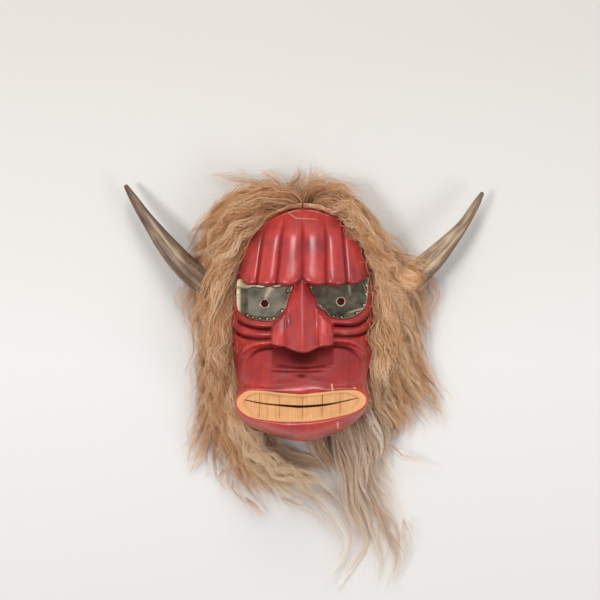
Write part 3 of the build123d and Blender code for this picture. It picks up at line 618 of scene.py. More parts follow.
def eye_sheet(x, y, outline, nails, hole, rough):
    """Height of the sheet over its plan: the seat plus dents, crimps at the nails and a burr at the peephole."""
    dent = 0.45 * np.sin(x * 0.11 + 1.3 * np.sin(y * 0.09)) * np.sin(y * 0.13 + 0.6 + rough)
    dent = dent + 0.16 * np.sin((x + y) * 0.17 + rough * 2) + 0.05 * np.sin(x * 0.31 - y * 0.22)
    z = eye_floor(x) + 1.6 + dent
    away, _ = edge_distance(x, y, closed_curve(outline, 6))
    near = np.min([np.hypot(x - nx, y - ny) for nx, ny in nails], 0)
    z = z + 1.5 * smooth_step(6.0, 0.5, -away) * smooth_step(2.5, 5.0, near) * (y < 20)
    z = z - 0.9 * smooth_step(3.4, 1.2, near)
    reach = np.hypot(x - hole[0], y - hole[1])
    burr = 0.7 + 0.5 * np.sin(3 * np.arctan2(y - hole[1], x - hole[0]) + rough)
    z = z + burr * smooth_step(7.3, 5.1, reach)
    return z, -away


def eye_plate(side, outline, nails, rough):
    """The sheet as rings round the peephole, from its ragged edge (share 0) to the plate's outline (share 1)."""
    hole = PEEPHOLES[side]
    turn = np.linspace(0, 2 * math.pi, 240, endpoint=False)
    far = outline_radius(closed_curve(np.array(outline) - hole, 6), turn)
    torn = (0.35 * np.sin(6 * turn + 0.6) + 0.25 * np.sin(7 * turn)) * (side == "left")
    ragged = 4.6 + torn + 0.1 * np.sin(9 * turn)
    share = np.concatenate([np.linspace(0, 0.16, 9)[:-1], np.linspace(0.16, 1, 60)])[:, None]
    reach = ragged + (far - ragged) * share
    x, y = hole[0] + reach * np.cos(turn), hole[1] + reach * np.sin(turn)
    z, inward = eye_sheet(x, y, outline, nails, hole, rough)
    if side == "left":
        z = z + 3.2 * smooth_step(-68, -82, x) * smooth_step(8, 20, y)
        curl = smooth_step(46.2, 48.6, y + 0.8 * np.sin(x * 0.33) - 0.03 * (x + 50)) * smooth_step(-14, -20, x)
        z = z + 2.6 * curl
    else:
        crease = np.exp(-(((x - 58.5) + 0.12 * (y - 44)) / 1.3) ** 2) * smooth_step(34, 44, y)
        fold = np.exp(-(((y - 16) - 0.28 * (x - 60)) / 1.4) ** 2) * smooth_step(52, 62, x)
        z = z + 0.8 * crease + 0.9 * fold
    top = np.stack([x, y, z], -1)
    under = top - (0, 0, TIN_GAUGE)
    rows, columns = x.shape
    over = grid_faces(rows, columns, wrap=True)[:, ::-1]
    below = over[:, ::-1] + rows * columns
    ring = np.arange(columns)
    walls = []
    for start, flip in ((0, 1), ((rows - 1) * columns, -1)):
        here, after = ring + start, (ring + 1) % columns + start
        walls.append(np.stack([here, after, after + rows * columns, here + rows * columns], 1)[:, ::flip])
    obj = mesh_object(f"{side}_plate_sheet", np.concatenate([top.reshape(-1, 3), under.reshape(-1, 3)]),
                      [over, below] + walls)
    reach = np.hypot(x - hole[0], y - hole[1])
    lip_at = 5.6 + 0.3 * np.sin(6 * turn) if side == "left" else 5.3 + 0.1 * np.sin(2 * turn)
    # Pale colour as painted highlights along the plate's edges, on the burr round the peephole and, on the left
    # plate, along its bent outer edge and its top curl; the right plate's crease and fold are partly wear and
    # partly painted highlight, and the left plate has a pale streak.
    bright = np.maximum(smooth_step(1.2, 0.2, inward), np.exp(-((reach - lip_at) / 0.65) ** 2))
    if side == "left":
        bright = np.maximum(bright, 0.75 * smooth_step(-76.5, -80.5, x))
        streak = np.exp(-((x + 42 + 0.5 * (44 - y)) / (1.5 + 0.16 * (y - 30))) ** 2) * smooth_step(31, 37, y)
        bright = np.maximum(bright, np.maximum(0.55 * streak, 0.9 * curl))
    else:
        bright = np.maximum(bright, 0.6 * np.maximum(crease, fold))
    paint_points(obj, "worn", bright, 1.0)
    return obj


tin = new_material("old tinplate")
where = add(tin, "TexCoord").outputs["Object"]
mottle = add(tin, "TexNoise", {"Scale": 95.0, "Detail": 6.0, "Roughness": 0.7}, Vector=where).outputs["Fac"]
stain = add(tin, "TexNoise", {"Scale": 30.0, "Detail": 3.0}, Vector=where).outputs["Fac"]
greys = [(0.28, "#3A372D"), (0.46, "#544F42"), (0.6, "#6C6453"), (0.78, "#8C8269")]
metal = add(tin, "ValToRGB", {"stops": greys}, Fac=mottle).outputs[0]
stains = [(0.35, "#A9B3A4"), (0.5, "#FFFFFF"), (0.7, "#E0C9A6")]
patina = add(tin, "ValToRGB", {"stops": stains}, Fac=stain).outputs[0]
metal = add(tin, "Mix", {**MULTIPLY, 0: 0.7}, _6=metal, _7=patina).outputs[2]
# Pale colour for painted highlights on edges, bends and burrs, and for some wear.
worn = add(tin, "Attribute", {"attribute_name": "worn"}).outputs["Fac"]
metal = add(tin, "Mix", {**BLEND, 7: "#C2B592"}, _0=worn, _6=metal).outputs[2]
rough = add(tin, "ValToRGB", {"stops": [(0.3, "#9C9C9C"), (0.7, "#BEBEBE")]}, Fac=mottle).outputs[0]
finish_material(tin, add(tin, "BsdfPrincipled", {"Metallic": 0.25, "Specular IOR Level": 0.35}, Base_Color=metal,
                         Roughness=rough))

nail_metal = new_material("tinned nail")
finish_material(nail_metal, add(nail_metal, "BsdfPrincipled",
                                {"Base Color": "#D8CFB8", "Metallic": 0.6, "Roughness": 0.35}))


def domes(name, places, radius, height):
    """Small closed nail heads, domed on top and flat below, at (x, y, z) places with an outward direction each."""
    turn = np.linspace(0, 2 * math.pi, 10, endpoint=False)
    rings = [(1.0, 0.0), (0.92, 0.45), (0.55, 0.88)]
    unit = [(r * math.cos(a), r * math.sin(a), h) for r, h in rings for a in turn] + [(0, 0, 1.0), (0, 0, 0.0)]
    unit = np.array(unit) * (radius, radius, height)
    sides = grid_faces(3, 10, wrap=True)
    ring = np.arange(10)
    top = np.stack([ring + 20, (ring + 1) % 10 + 20, np.full(10, 30)], 1)
    base = np.stack([(ring + 1) % 10, ring, np.full(10, 31)], 1)
    points, quads, fans = [], [], []
    for i, (place, out) in enumerate(places):
        out = np.array(out, float) / np.linalg.norm(out)
        side = np.cross(out, (0.3, 0.9, 0.1))
        side /= np.linalg.norm(side)
        points.append(unit @ np.stack([side, np.cross(out, side), out]) + place)
        quads.append(sides + 32 * i)
        fans += [top + 32 * i, base + 32 * i]
    return mesh_object(name, np.concatenate(points), [np.concatenate(quads), np.concatenate(fans)])


for side, outline, nails, rough_phase in (("left", LEFT_PLATE, LEFT_NAILS, 0.4),
                                          ("right", RIGHT_PLATE, RIGHT_NAILS, 2.1)):
    sheet = eye_plate(side, outline, nails, rough_phase)
    fit_piece(sheet, tin, f"{side}_eye_plate")
    spots = np.array(nails, float)
    heights, _ = eye_sheet(spots[:, 0], spots[:, 1], outline, nails, PEEPHOLES[side], rough_phase)
    tilt = math.copysign(math.sin(math.radians(14)), spots[3, 0])
    places = [((px, py, h - 0.25), (tilt, 0, 1)) for (px, py), h in zip(nails, heights)]
    heads = domes(f"{side}_plate_nails", places, NAIL_HEAD_RADIUS, NAIL_HEAD_HEIGHT)
    fit_piece(heads, nail_metal, f"{side}_eye_pins")

# ---- Hide strips and tacks ----
# Stiff cured hide that the hair still grows on, folded out at its upper edge and held to the side wall by
# steel tacks. The band shows only at the top, where the hair parts.
def hide_band(name, start, stop, flare, steps):
    """A closed band round the side wall between two angles, upright at the wall and turned out at its upper edge
    by flare(angle) millimetres. Its thickness narrows from 1.5 mm to 0.8 mm at that edge."""
    turn = np.radians(np.linspace(start, stop, steps))
    c, s = np.cos(turn), np.sin(turn)
    n = RIM["power"]
    base_x = np.sign(c) * np.abs(c) ** (2 / n) * RIM["width"]
    base_y = np.sign(s) * np.abs(s) ** (2 / n) * np.where(s > 0, RIM["top"], RIM["bottom"])
    tangent = np.stack([np.gradient(base_x), np.gradient(base_y)], -1)
    tangent /= np.linalg.norm(tangent, axis=1, keepdims=True)
    out = np.stack([tangent[:, 1], -tangent[:, 0]], -1)
    front_reach = periodic_curve(edge_angle[order], edge_radius, np.arctan2(base_y, base_x))
    edge_gap = np.maximum(front_reach - np.hypot(base_x, base_y), 0)
    turned = flare(np.degrees(turn))
    wave = 0.8 * np.sin(turn * 23) + 0.5 * np.sin(turn * 41 + 1)
    section = [(0.7, 8.0), (0.7, 20.0), (0.9, 32.0), (1.2, 39.0), (1.8, 42.5), (3.4, 45.0)]
    rows_top, rows_under = [], []
    for k, (gap, height) in enumerate(section):
        share = k / (len(section) - 1)
        offset = gap + share**3 * (turned + 0.6 * wave) + share**2 * edge_gap
        lift = height + share**3 * (0.35 * turned + wave)
        for rows, thick in ((rows_under, 0.0), (rows_top, 1.5 - 0.7 * share)):
            reach = offset + thick
            rows.append(np.stack([base_x + out[:, 0] * reach, base_y + out[:, 1] * reach, lift], -1))
    return slab(name, np.stack(rows_top), np.stack(rows_under))


def left_flare(angle):
    return 1.0 * smooth_step(150, 100, angle) + 2.5 * smooth_step(104, 92, angle)


def right_flare(angle):
    return 6.5 * smooth_step(25, 45, angle) * (1 - 0.55 * smooth_step(55, 80, angle))


hide = new_material("cured hide")
where = add(hide, "TexCoord").outputs["Object"]
cloud = add(hide, "TexNoise", {"Scale": 90.0, "Detail": 5.0, "Roughness": 0.65}, Vector=where).outputs["Fac"]
skins = [(0.3, "#8C6143"), (0.5, "#B98A64"), (0.7, "#D8B18A")]
skin = add(hide, "ValToRGB", {"stops": skins}, Fac=cloud).outputs[0]
bump = add(hide, "Bump", {"Strength": 0.4, "Distance": 0.0006}, Height=cloud).outputs[0]
finish_material(hide, add(hide, "BsdfPrincipled", {"Roughness": 0.75}, Base_Color=skin, Normal=bump))
for name, start, stop, flare, node in (("left_hide_band", 90.3, 212, left_flare, "left_hide_strip"),
                                       ("right_hide_band", -32, 89.9, right_flare, "right_hide_strip")):
    band = hide_band(name, start, stop, flare, 160)
    fit_piece(band, hide, node)

steel = new_material("blued steel tack")
finish_material(steel, add(steel, "BsdfPrincipled", {"Base Color": "#4C4744", "Metallic": 0.9, "Roughness": 0.45}))
for node, material, slot in (("beard_strip", hide, "rawhide"), ("left_strip_tacks", steel, "steel_tack"),
                             ("right_strip_tacks", steel, "steel_tack"), ("beard_tacks", steel, "steel_tack"),
                             ("left_horn_screw", steel, "steel_tack"), ("right_horn_screw", steel, "steel_tack"),
                             ("left_horn_pins", steel, "steel_tack"), ("right_horn_pins", steel, "steel_tack"),
                             ("left_horn_plug", bare, "bare_wood"), ("right_horn_plug", bare, "bare_wood")):
    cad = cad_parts[node]
    cad.data.materials.clear()
    cad.data.materials.append(material)

# ---- Horns ----
# Natural cattle horn: layered keratin, grey brown on the left and paler on the right, with lengthwise fibres, low
# growth rings near the foot and a blunt dark tip. Each is hollow at its foot, where the wooden plug goes in.
LEFT_HORN = [(-88, 20.7, 27.3, 17.1), (-112, 42, 31, 16.8), (-146, 70.5, 36, 15.8), (-170.5, 97.5, 37, 13.2),
             (-197, 132.5, 33, 8.4), (-214.5, 158, 27, 5.8), (-226.3, 176.6, 22, 2.9)]
RIGHT_HORN = [(88, 14.4, 27.3, 17.1), (116, 38, 31, 16.6), (161, 79.5, 37, 14.8), (188, 108.5, 36, 9.9),
              (205, 129, 32, 6.8), (221, 154, 27, 5.0), (229, 167.2, 23, 2.7)]


HORN_STEPS, HORN_SIDES, FOOT_STEPS = 150, 72, 50
HORN_FLATNESS, HORN_WALL, TIP_LENGTH = 0.96, 3.5, 2.9


def horn_shape(name, path, seed):
    """A tube along the horn's middle line with a rounded tip and a hollow foot, ribbed lengthwise by fibres."""
    line = open_curve(path, HORN_STEPS)
    along = np.gradient(line[:, :3], axis=0)
    along /= np.linalg.norm(along, axis=1, keepdims=True)
    across = np.cross(along, (0, 0, 1.0))
    across /= np.linalg.norm(across, axis=1, keepdims=True)
    upward = np.cross(across, along)
    turn = np.linspace(0, 2 * math.pi, HORN_SIDES, endpoint=False)[None]
    t = np.linspace(0, 1, len(line))[:, None]
    rng = np.random.default_rng(seed)
    fibre = sum(a * np.sin(k * turn + p + 1.5 * np.sin(3 * t + p)) for k, a, p in
                zip((5, 9, 14, 23), (0.16, 0.12, 0.10, 0.07), rng.uniform(0, 6.3, 4)))
    growth = 0.22 * np.sin(95 * t + 0.8 * np.sin(turn + 1)) * smooth_step(0.62, 0.1, t)
    radius = line[:, 3:4] + fibre * (0.35 + 0.65 * line[:, 3:4] / 17) + growth
    centre = np.repeat(line[:, None, :3], HORN_SIDES, 1)

    def ring(middle, side, up, r):
        return (middle + side[:, None] * (np.cos(turn) * r)[..., None]
                + up[:, None] * (np.sin(turn) * r * HORN_FLATNESS)[..., None])

    outer = ring(centre, across, upward, radius)
    last = line[-1:, None, :3]
    tip = [last + along[-1] * TIP_LENGTH * math.sin(a) + (outer[-1:] - last) * math.cos(a)
           for a in (0.3, 0.6, 0.9, 1.15, 1.35)]
    inner_share = np.linspace(0, FOOT_STEPS / HORN_STEPS, 8)
    rows = (inner_share * (HORN_STEPS - 1)).astype(int)[::-1]
    bore = ring(centre[rows], across[rows], upward[rows], line[rows, 3:4] - HORN_WALL)
    grid = np.concatenate([bore, outer] + tip)
    first_fan = len(grid) * HORN_SIDES
    points = np.concatenate([grid.reshape(-1, 3), [line[rows[0], :3]], [line[-1, :3] + along[-1] * TIP_LENGTH]])
    k = np.arange(HORN_SIDES)
    after = (k + 1) % HORN_SIDES
    start = np.stack([after, k, np.full(HORN_SIDES, first_fan)], 1)[:, ::-1]
    end_row = (len(grid) - 1) * HORN_SIDES
    end = np.stack([end_row + k, end_row + after, np.full(HORN_SIDES, first_fan + 1)], 1)[:, ::-1]
    obj = mesh_object(name, points, [grid_faces(len(grid), HORN_SIDES, wrap=True)[:, ::-1], start, end])
    fractions = np.concatenate([np.zeros(len(rows)), np.linspace(0, 1, len(line)), np.ones(len(tip))])
    all_round = (len(grid), HORN_SIDES)
    paint_points(obj, "reach", np.repeat(fractions, HORN_SIDES), 1.0)
    paint_points(obj, "side", np.broadcast_to(np.cos(turn), all_round))
    wind = np.stack([np.broadcast_to(fractions[:, None] * 6, all_round), np.broadcast_to(np.cos(turn), all_round),
                     np.broadcast_to(np.sin(turn), all_round)], -1)
    pattern = np.zeros((len(points), 3))
    pattern[:first_fan] = wind.reshape(-1, 3)
    pattern[-1] = wind[-1, 0]
    obj.data.attributes.new("fibre", "FLOAT_VECTOR", "POINT").data.foreach_set("vector", pattern.ravel())
    return obj


def horn_material(name, stops, edge, streak_and_shade_range):
    """Keratin: lengthwise streaks in the horn's own coordinates, darker at the tip and along one side: that side
    is partly the horn's own dark streak and partly painted shade, turned from the key light.
    """
    horn = new_material(name)
    own = add(horn, "Attribute", {"attribute_name": "fibre"}).outputs["Vector"]
    place = add(horn, "Mapping", {"Scale": (0.55, 7.0, 7.0)}, Vector=own).outputs[0]
    streak = add(horn, "TexNoise", {"Scale": 1.0, "Detail": 6.0, "Roughness": 0.68}, Vector=place).outputs["Fac"]
    blotch_place = add(horn, "Mapping", {"Scale": (1.2, 1.6, 1.6)}, Vector=own).outputs[0]
    blotch = add(horn, "TexNoise", {"Scale": 1.0, "Detail": 3.0}, Vector=blotch_place).outputs["Fac"]
    value = add(horn, "Math", {"operation": "MULTIPLY_ADD", 1: 0.45}, _0=blotch,
                _2=add(horn, "Math", {"operation": "MULTIPLY", 1: 0.62}, _0=streak).outputs[0]).outputs[0]
    keratin = add(horn, "ValToRGB", {"stops": stops}, Fac=value).outputs[0]
    side = add(horn, "Attribute", {"attribute_name": "side"}).outputs["Fac"]
    # Darker along one side: partly the horn's own dark streak, partly painted shade on the side turned from the
    # key light.
    streak_and_shade_side = add(horn, "MapRange", {1: streak_and_shade_range[0], 2: streak_and_shade_range[1], 3: 0.0, 4: 0.75}, _0=side).outputs[0]
    reach = add(horn, "Attribute", {"attribute_name": "reach"}).outputs["Fac"]
    dark_tip = add(horn, "MapRange", {1: 0.90, 2: 1.0, 3: 0.0, 4: 0.7}, _0=reach).outputs[0]
    dark = add(horn, "Math", {"operation": "MAXIMUM"}, _0=streak_and_shade_side, _1=dark_tip).outputs[0]
    keratin = add(horn, "Mix", {**BLEND, 7: edge}, _0=dark, _6=keratin).outputs[2]
    bump = add(horn, "Bump", {"Strength": 0.3, "Distance": 0.0004}, Height=streak).outputs[0]
    finish_material(horn, add(horn, "BsdfPrincipled", {"Roughness": 0.42, "Specular IOR Level": 0.45},
                              Base_Color=keratin, Normal=bump))
    return horn


dark_horn = horn_material("grey brown horn",
                          [(0.36, "#38271D"), (0.47, "#5C4534"), (0.56, "#7A6049"), (0.68, "#A48E76")],
                          "#3E2F28", (0.55, 1.0))
pale_horn = horn_material("pale horn",
                          [(0.36, "#4A3626"), (0.47, "#745D46"), (0.56, "#9A8064"), (0.68, "#C6AC8E")],
                          "#4E4038", (0.35, 0.95))
for side, path, material, slot, seed in (("left", LEFT_HORN, dark_horn, "dark_horn", 3),
                                         ("right", RIGHT_HORN, pale_horn, "pale_horn", 5)):
    horn = horn_shape(f"{side}_horn_sheath", path, seed)
    fit_piece(horn, material, f"{side}_horn")

# ---- Mane and beard hair ----
# Long animal hair, ginger to tan on the head and grey brown to blond at the beard, still on its hide and tacked on
# in strips. It falls in wavy locks that lie over each other and end in points on the table.
LEFT_MANE = [
    [(2, 150), (-8, 165), (-30, 172), (-52, 174), (-74, 171), (-95, 162), (-114, 148), (-131, 131), (-147, 109)],
    [(-13, 148), (-34, 156), (-57, 156), (-82, 149), (-105, 135), (-124, 118), (-140, 100), (-151, 81)],
    [(-27, 143), (-46, 144), (-66, 138), (-88, 127), (-110, 111), (-127, 92), (-137, 70), (-145, 47), (-154, 26)],
    [(-42, 134), (-58, 129), (-76, 118), (-96, 103), (-111, 85), (-123, 64), (-132, 40), (-140, 16), (-148, -7)],
    [(-57, 121), (-71, 111), (-85, 95), (-101, 77), (-114, 56), (-124, 32), (-131, 6), (-135, -23), (-138, -46)],
    [(-70, 104), (-81, 89), (-94, 68), (-107, 46), (-117, 21), (-124, -6), (-127, -33), (-128, -61), (-138, -87),
     (-146, -105)],
    [(-78, 80), (-89, 62), (-99, 39), (-109, 15), (-116, -12), (-119, -40), (-120, -68), (-126, -96), (-135, -120),
     (-146, -146), (-154, -170)],
    [(-84, 49), (-93, 29), (-102, 5), (-108, -22), (-111, -50), (-112, -78), (-115, -106), (-122, -133),
     (-130, -156),
     (-138, -177), (-150, -193)],
    [(-89, 16), (-95, -4), (-102, -30), (-104, -56), (-105, -83), (-106, -111), (-108, -138), (-107, -164),
     (-102, -188), (-95, -209)],
    [(-91, -14), (-95, -34), (-98, -60), (-97, -87), (-96, -114), (-93, -141), (-88, -167), (-81, -192),
     (-70, -215),
     (-55, -235)],
    [(-89, -39), (-91, -62), (-90, -88), (-88, -114), (-82, -140), (-73, -163), (-60, -185), (-44, -205),
     (-26, -224),
     (-8, -242)],
    [(-85, -65), (-86, -88), (-83, -111), (-75, -134), (-64, -156), (-49, -175), (-28, -190), (-4, -202),
     (19, -217),
     (41, -237)],
    [(-80, -93), (-79, -111), (-72, -130), (-61, -148), (-45, -164), (-24, -177), (0, -188), (22, -201),
     (45, -222),
     (61, -245)]]
RIGHT_MANE = [
    [(-2, 151), (3, 167), (17, 176), (38, 174), (58, 165), (76, 150), (91, 131), (105, 109)],
    [(20, 144), (34, 153), (51, 149), (69, 135), (84, 117), (99, 101), (117, 91), (139, 84), (161, 81)],
    [(37, 138), (53, 138), (67, 124), (82, 108), (97, 93), (117, 81), (139, 75), (160, 69), (178, 73)],
    [(57, 135), (71, 123), (83, 105), (96, 85), (114, 69), (132, 56), (148, 42), (156, 21), (159, -2)],
    [(76, 124), (87, 105), (95, 82), (107, 58), (123, 35), (134, 11), (142, -15), (148, -40), (159, -64),
     (174, -85)],
    [(89, 108), (97, 86), (102, 59), (108, 30), (119, 2), (129, -26), (141, -53), (157, -76), (174, -95),
     (184, -110),
     (189, -129)],
    [(94, 81), (99, 58), (103, 30), (107, 0), (115, -30), (127, -58), (140, -84), (153, -106), (164, -124),
     (171, -138)],
    [(97, 52), (100, 28), (103, 0), (105, -30), (111, -59), (122, -86), (132, -110), (139, -131), (141, -144)],
    [(99, 21), (100, -4), (101, -30), (101, -56), (106, -84), (115, -107), (125, -127), (129, -142), (120, -151)],
    [(99, -9), (98, -32), (97, -55), (97, -78), (104, -99), (113, -117), (121, -133), (117, -149), (110, -153)],
    [(91, -37), (89, -57), (88, -78), (92, -98), (100, -115), (109, -129), (112, -144)]]
LEFT_BEARD = [
    [(-80, -110), (-75, -131), (-67, -149), (-56, -165), (-40, -176), (-20, -183), (0, -185), (19, -188)],
    [(-71, -120), (-65, -138), (-56, -156), (-43, -169), (-26, -178), (-5, -182), (14, -184), (31, -192)],
    [(-59, -120), (-52, -140), (-42, -156), (-28, -168), (-10, -173), (8, -178), (25, -185), (39, -198)],
    [(-42, -124), (-34, -144), (-23, -158), (-8, -166), (8, -172), (22, -179), (34, -190), (43, -204)],
    [(-22, -126), (-14, -146), (-3, -160), (12, -168), (23, -178), (32, -190), (40, -206)],
    [(1, -127), (6, -148), (15, -166), (24, -177), (32, -188), (39, -201)],
    [(24, -125), (29, -146), (36, -164), (42, -177), (46, -192), (48, -209)]]
RIGHT_BEARD = [
    [(36, -122), (44, -146), (53, -169), (57, -187), (59, -205), (63, -225), (70, -246), (77, -268), (76, -289),
     (63, -308), (40, -324), (12, -337), (-8, -346)],
    [(45, -119), (55, -145), (62, -169), (64, -190), (65, -209), (70, -230), (79, -251), (88, -274), (96, -297),
     (99, -321), (97, -345), (94, -358)],
    [(54, -114), (66, -142), (71, -167), (71, -187), (74, -208), (82, -228), (92, -247), (103, -268), (112, -291),
     (115, -313), (108, -335), (102, -356)],
    [(62, -108), (76, -136), (83, -160), (81, -182), (84, -203), (93, -223), (105, -241), (117, -259), (125, -279),
     (126, -300), (120, -322), (114, -340)],
    [(70, -101), (86, -129), (94, -154), (92, -175), (94, -194), (104, -211), (117, -227), (128, -244),
     (135, -263),
     (139, -284), (141, -300)],
    [(76, -94), (96, -119), (104, -143), (99, -162), (101, -181), (112, -197), (125, -211), (135, -227),
     (141, -242)]]
STRAND_POINTS = 18
GUIDE_POINTS = 40


def guide_table(guides, count):
    return np.stack([open_curve(np.array(g, float), count) for g in guides])


def between_guides(table, place):
    """Plan curves between neighbouring guides: place 0 is the first guide and 1 the last."""
    at = np.clip(place, 0, 0.9999) * (len(table) - 1)
    low = at.astype(int)
    part = (at - low)[:, None, None]
    return table[low] * (1 - part) + table[low + 1] * part


def over_horns(points, layer):
    """Lifts the points of the outer layers over a horn where their plan crosses it: to the horn's top, which is
    its centre + sqrt(radius^2 - distance^2), and a little more for each layer."""
    lifted = points.copy()
    for horn in (LEFT_HORN[1:5], RIGHT_HORN[1:5]):
        line = open_curve(horn, 16)
        gap = np.hypot(points[..., 0, None] - line[:, 0], points[..., 1, None] - line[:, 1])
        near = gap.argmin(-1)
        away, centre, radius = gap.min(-1), line[near, 2], line[near, 3]
        top = centre + np.sqrt(np.maximum(radius**2 - away**2, 0)) + 0.8 + 3.0 * layer[:, None]
        soft = smooth_step(radius + 9, radius - 1, away)
        lifted[..., 2] = np.maximum(points[..., 2], points[..., 2] + (top - points[..., 2]) * soft)
    return np.where(layer[:, None, None] > 0.35, lifted, points)


def lock_curves(rng, guides, locks, per_lock, height, spread=5.0, wave=2.6, wavelength=38.0, frizz=0.5,
                reach=(0.72, 1.0), shorter=1.4, pale_end=0.0):
    """Strands gathered in locks. Each lock follows a curve between the guides with its own wave, and its strands
    start apart and draw together to a point. Returns points (strand, point, xyz) and a tone from 0 to 1, darker
    for locks in lower layers as painted shade."""
    table = guide_table(guides, GUIDE_POINTS)
    place = (np.arange(locks) + rng.random(locks)) / locks
    curve = between_guides(table, place)
    t = np.linspace(0, 1, STRAND_POINTS)
    lengths = reach[0] + (reach[1] - reach[0]) * rng.random(locks) ** shorter
    layer = rng.random(locks)
    phase, swing = rng.uniform(0, 2 * math.pi, locks), wave * rng.uniform(0.4, 1.3, locks)
    # Lower layers get a darker tone: painted shade under the upper locks.
    lock_tone_and_depth_shade = np.clip(rng.normal(0.5, 0.24, locks) + 0.6 * (layer - 0.5), 0, 1)
    lean = rng.normal(0, spread * 0.55, locks)
    owner = np.repeat(np.arange(locks), per_lock)
    n = len(owner)
    own_length = lengths[owner] * rng.uniform(0.82, 1.04, n)
    at = np.clip(own_length[:, None] * t, 0, 1) * (GUIDE_POINTS - 1)
    low = np.minimum(at.astype(int), GUIDE_POINTS - 2)
    part = (at - low)[..., None]
    rows = owner[:, None]
    plan = curve[rows, low] * (1 - part) + curve[rows, low + 1] * part
    step = np.gradient(plan, axis=1)
    piece = np.hypot(*np.diff(plan, axis=1).transpose(2, 0, 1))
    along = np.concatenate([np.zeros((n, 1)), np.cumsum(piece, 1)], 1)
    normal = np.stack([-step[..., 1], step[..., 0]], -1)
    normal /= np.maximum(np.linalg.norm(normal, axis=-1, keepdims=True), 1e-6)
    gather = (0.4 + 0.6 * smooth_step(0, 0.2, t) - 0.8 * smooth_step(0.15, 1.0, t))[None]
    side = rng.normal(0, spread * 0.45, n)[:, None] * gather + lean[owner, None] * smooth_step(0, 0.4, t)[None]
    own_wave = swing[owner, None] * np.sin(2 * math.pi * along / wavelength + phase[owner, None]
                                           + rng.normal(0, 0.25, n)[:, None])
    own_curl = wavelength * rng.uniform(0.22, 0.6, n)[:, None]
    curl = frizz * np.sin(2 * math.pi * along / own_curl + rng.uniform(0, 6.3, n)[:, None])
    flat = plan + normal * (side + (own_wave + curl) * smooth_step(0.04, 0.35, t)[None])[..., None]
    over = height(t[None] * own_length[:, None], layer[owner, None])
    lift = over + rng.normal(0, 1.6, n)[:, None] * gather + 0.9 * np.cos(2 * math.pi * along / wavelength
                                                                         + phase[owner, None])
    points = np.concatenate([flat, np.maximum(lift, 1.0 + 1.5 * rng.random(n)[:, None])[..., None]], -1)
    paler = pale_end * smooth_step(0.74, 0.96, place[owner])
    tone_and_shade = np.clip(lock_tone_and_depth_shade[owner] + rng.normal(0, 0.14, n) + paler, 0, 1)
    return over_horns(points, layer[owner]), tone_and_shade


def hair_mesh(name, points, tone_and_shade, width, material, node=None, thin_root=0.0):
    """Strands as closed three-sided tubes that narrow to a point. In the OFBake map, u is the strand's tone,
    painted shade included, and v runs from 0 at the root to 1 at the tip."""
    n, rows = points.shape[:2]
    along = np.gradient(points, axis=1)
    along /= np.maximum(np.linalg.norm(along, axis=-1, keepdims=True), 1e-9)
    up = np.zeros_like(along)
    up[..., 2] = 1
    across = np.cross(along, up)
    across /= np.maximum(np.linalg.norm(across, axis=-1, keepdims=True), 1e-6)
    upward = np.cross(across, along)
    t = np.linspace(0, 1, rows)
    taper = (1 - 0.85 * t**1.8) * (1 - thin_root * smooth_step(0.15, 0, t))
    radius = (np.asarray(width).reshape(-1, 1) / 2) * taper
    rings = [points + radius[..., None] * (across * math.cos(a) + upward * math.sin(a))
             for a in (math.pi / 2, math.pi * 7 / 6, math.pi * 11 / 6)]
    vertices = np.stack(rings, 2).reshape(-1, 3)
    base = (np.arange(n) * rows * 3)[:, None, None, None]
    r, c = np.meshgrid(np.arange(rows - 1), np.arange(3), indexing="ij")
    a, b = r * 3 + c, r * 3 + (c + 1) % 3
    quads = (base + np.stack([a, a + 3, b + 3, b], -1)[None]).reshape(-1, 4)
    root = (np.arange(n) * rows * 3)[:, None] + np.array([0, 1, 2])
    end = (np.arange(n) * rows * 3)[:, None] + (rows - 1) * 3 + np.array([2, 1, 0])
    u0 = 0.01 + 0.93 * tone_and_shade
    wide = 0.012
    u = (u0[:, None, None, None] + wide * (np.stack([c, c, c + 1, c + 1], -1) / 3)[None])
    v = np.broadcast_to((np.stack([r, r + 1, r + 1, r], -1) / (rows - 1))[None], (n, rows - 1, 3, 4))
    quad_uv = np.stack([np.broadcast_to(u, v.shape), v], -1).reshape(-1, 2)
    cap = np.array([(0.0, 0.0), (1.0, 0.0), (0.5, 1.0)]) * (wide, 0.012)
    root_uv = (np.stack([u0, np.zeros(n)], -1)[:, None] + cap[None]).reshape(-1, 2)
    end_uv = (np.stack([u0, np.full(n, 0.985)], -1)[:, None] + cap[None]).reshape(-1, 2)
    uv = np.concatenate([quad_uv, root_uv, end_uv])
    fit_piece(mesh_object(name, vertices, [quads, root, end], uv), material, node)


def hair_material(name, root_colour_and_shade_stops, tip_stops, turn):
    """Keratin hair: colour from the root and tip ramps by each strand's tone, with a soft sheen. The root ramp is
    darker, partly the hair's own darker root colour and partly painted shade where the hair lies against the mask.
    """
    hair = new_material(name)
    uv = add(hair, "UVMap", {"uv_map": "OFBake"}).outputs[0]
    parts = add(hair, "SeparateXYZ", Vector=uv).outputs
    root = add(hair, "ValToRGB", {"stops": root_colour_and_shade_stops}, Fac=parts["X"]).outputs[0]
    tip = add(hair, "ValToRGB", {"stops": tip_stops}, Fac=parts["X"]).outputs[0]
    turning = [(0.0, "#000000"), (turn, "#A0A0A0"), (1.0, "#FFFFFF")]
    change = add(hair, "ValToRGB", {"stops": turning}, Fac=parts["Y"]).outputs[0]
    colour = add(hair, "Mix", BLEND, _0=change, _6=root, _7=tip).outputs[2]
    finish_material(hair, add(hair, "BsdfPrincipled",
                              {"Roughness": 0.46, "Specular IOR Level": 0.35, "Sheen Weight": 0.15,
                               "Sheen Roughness": 0.4}, Base_Color=colour))
    return hair


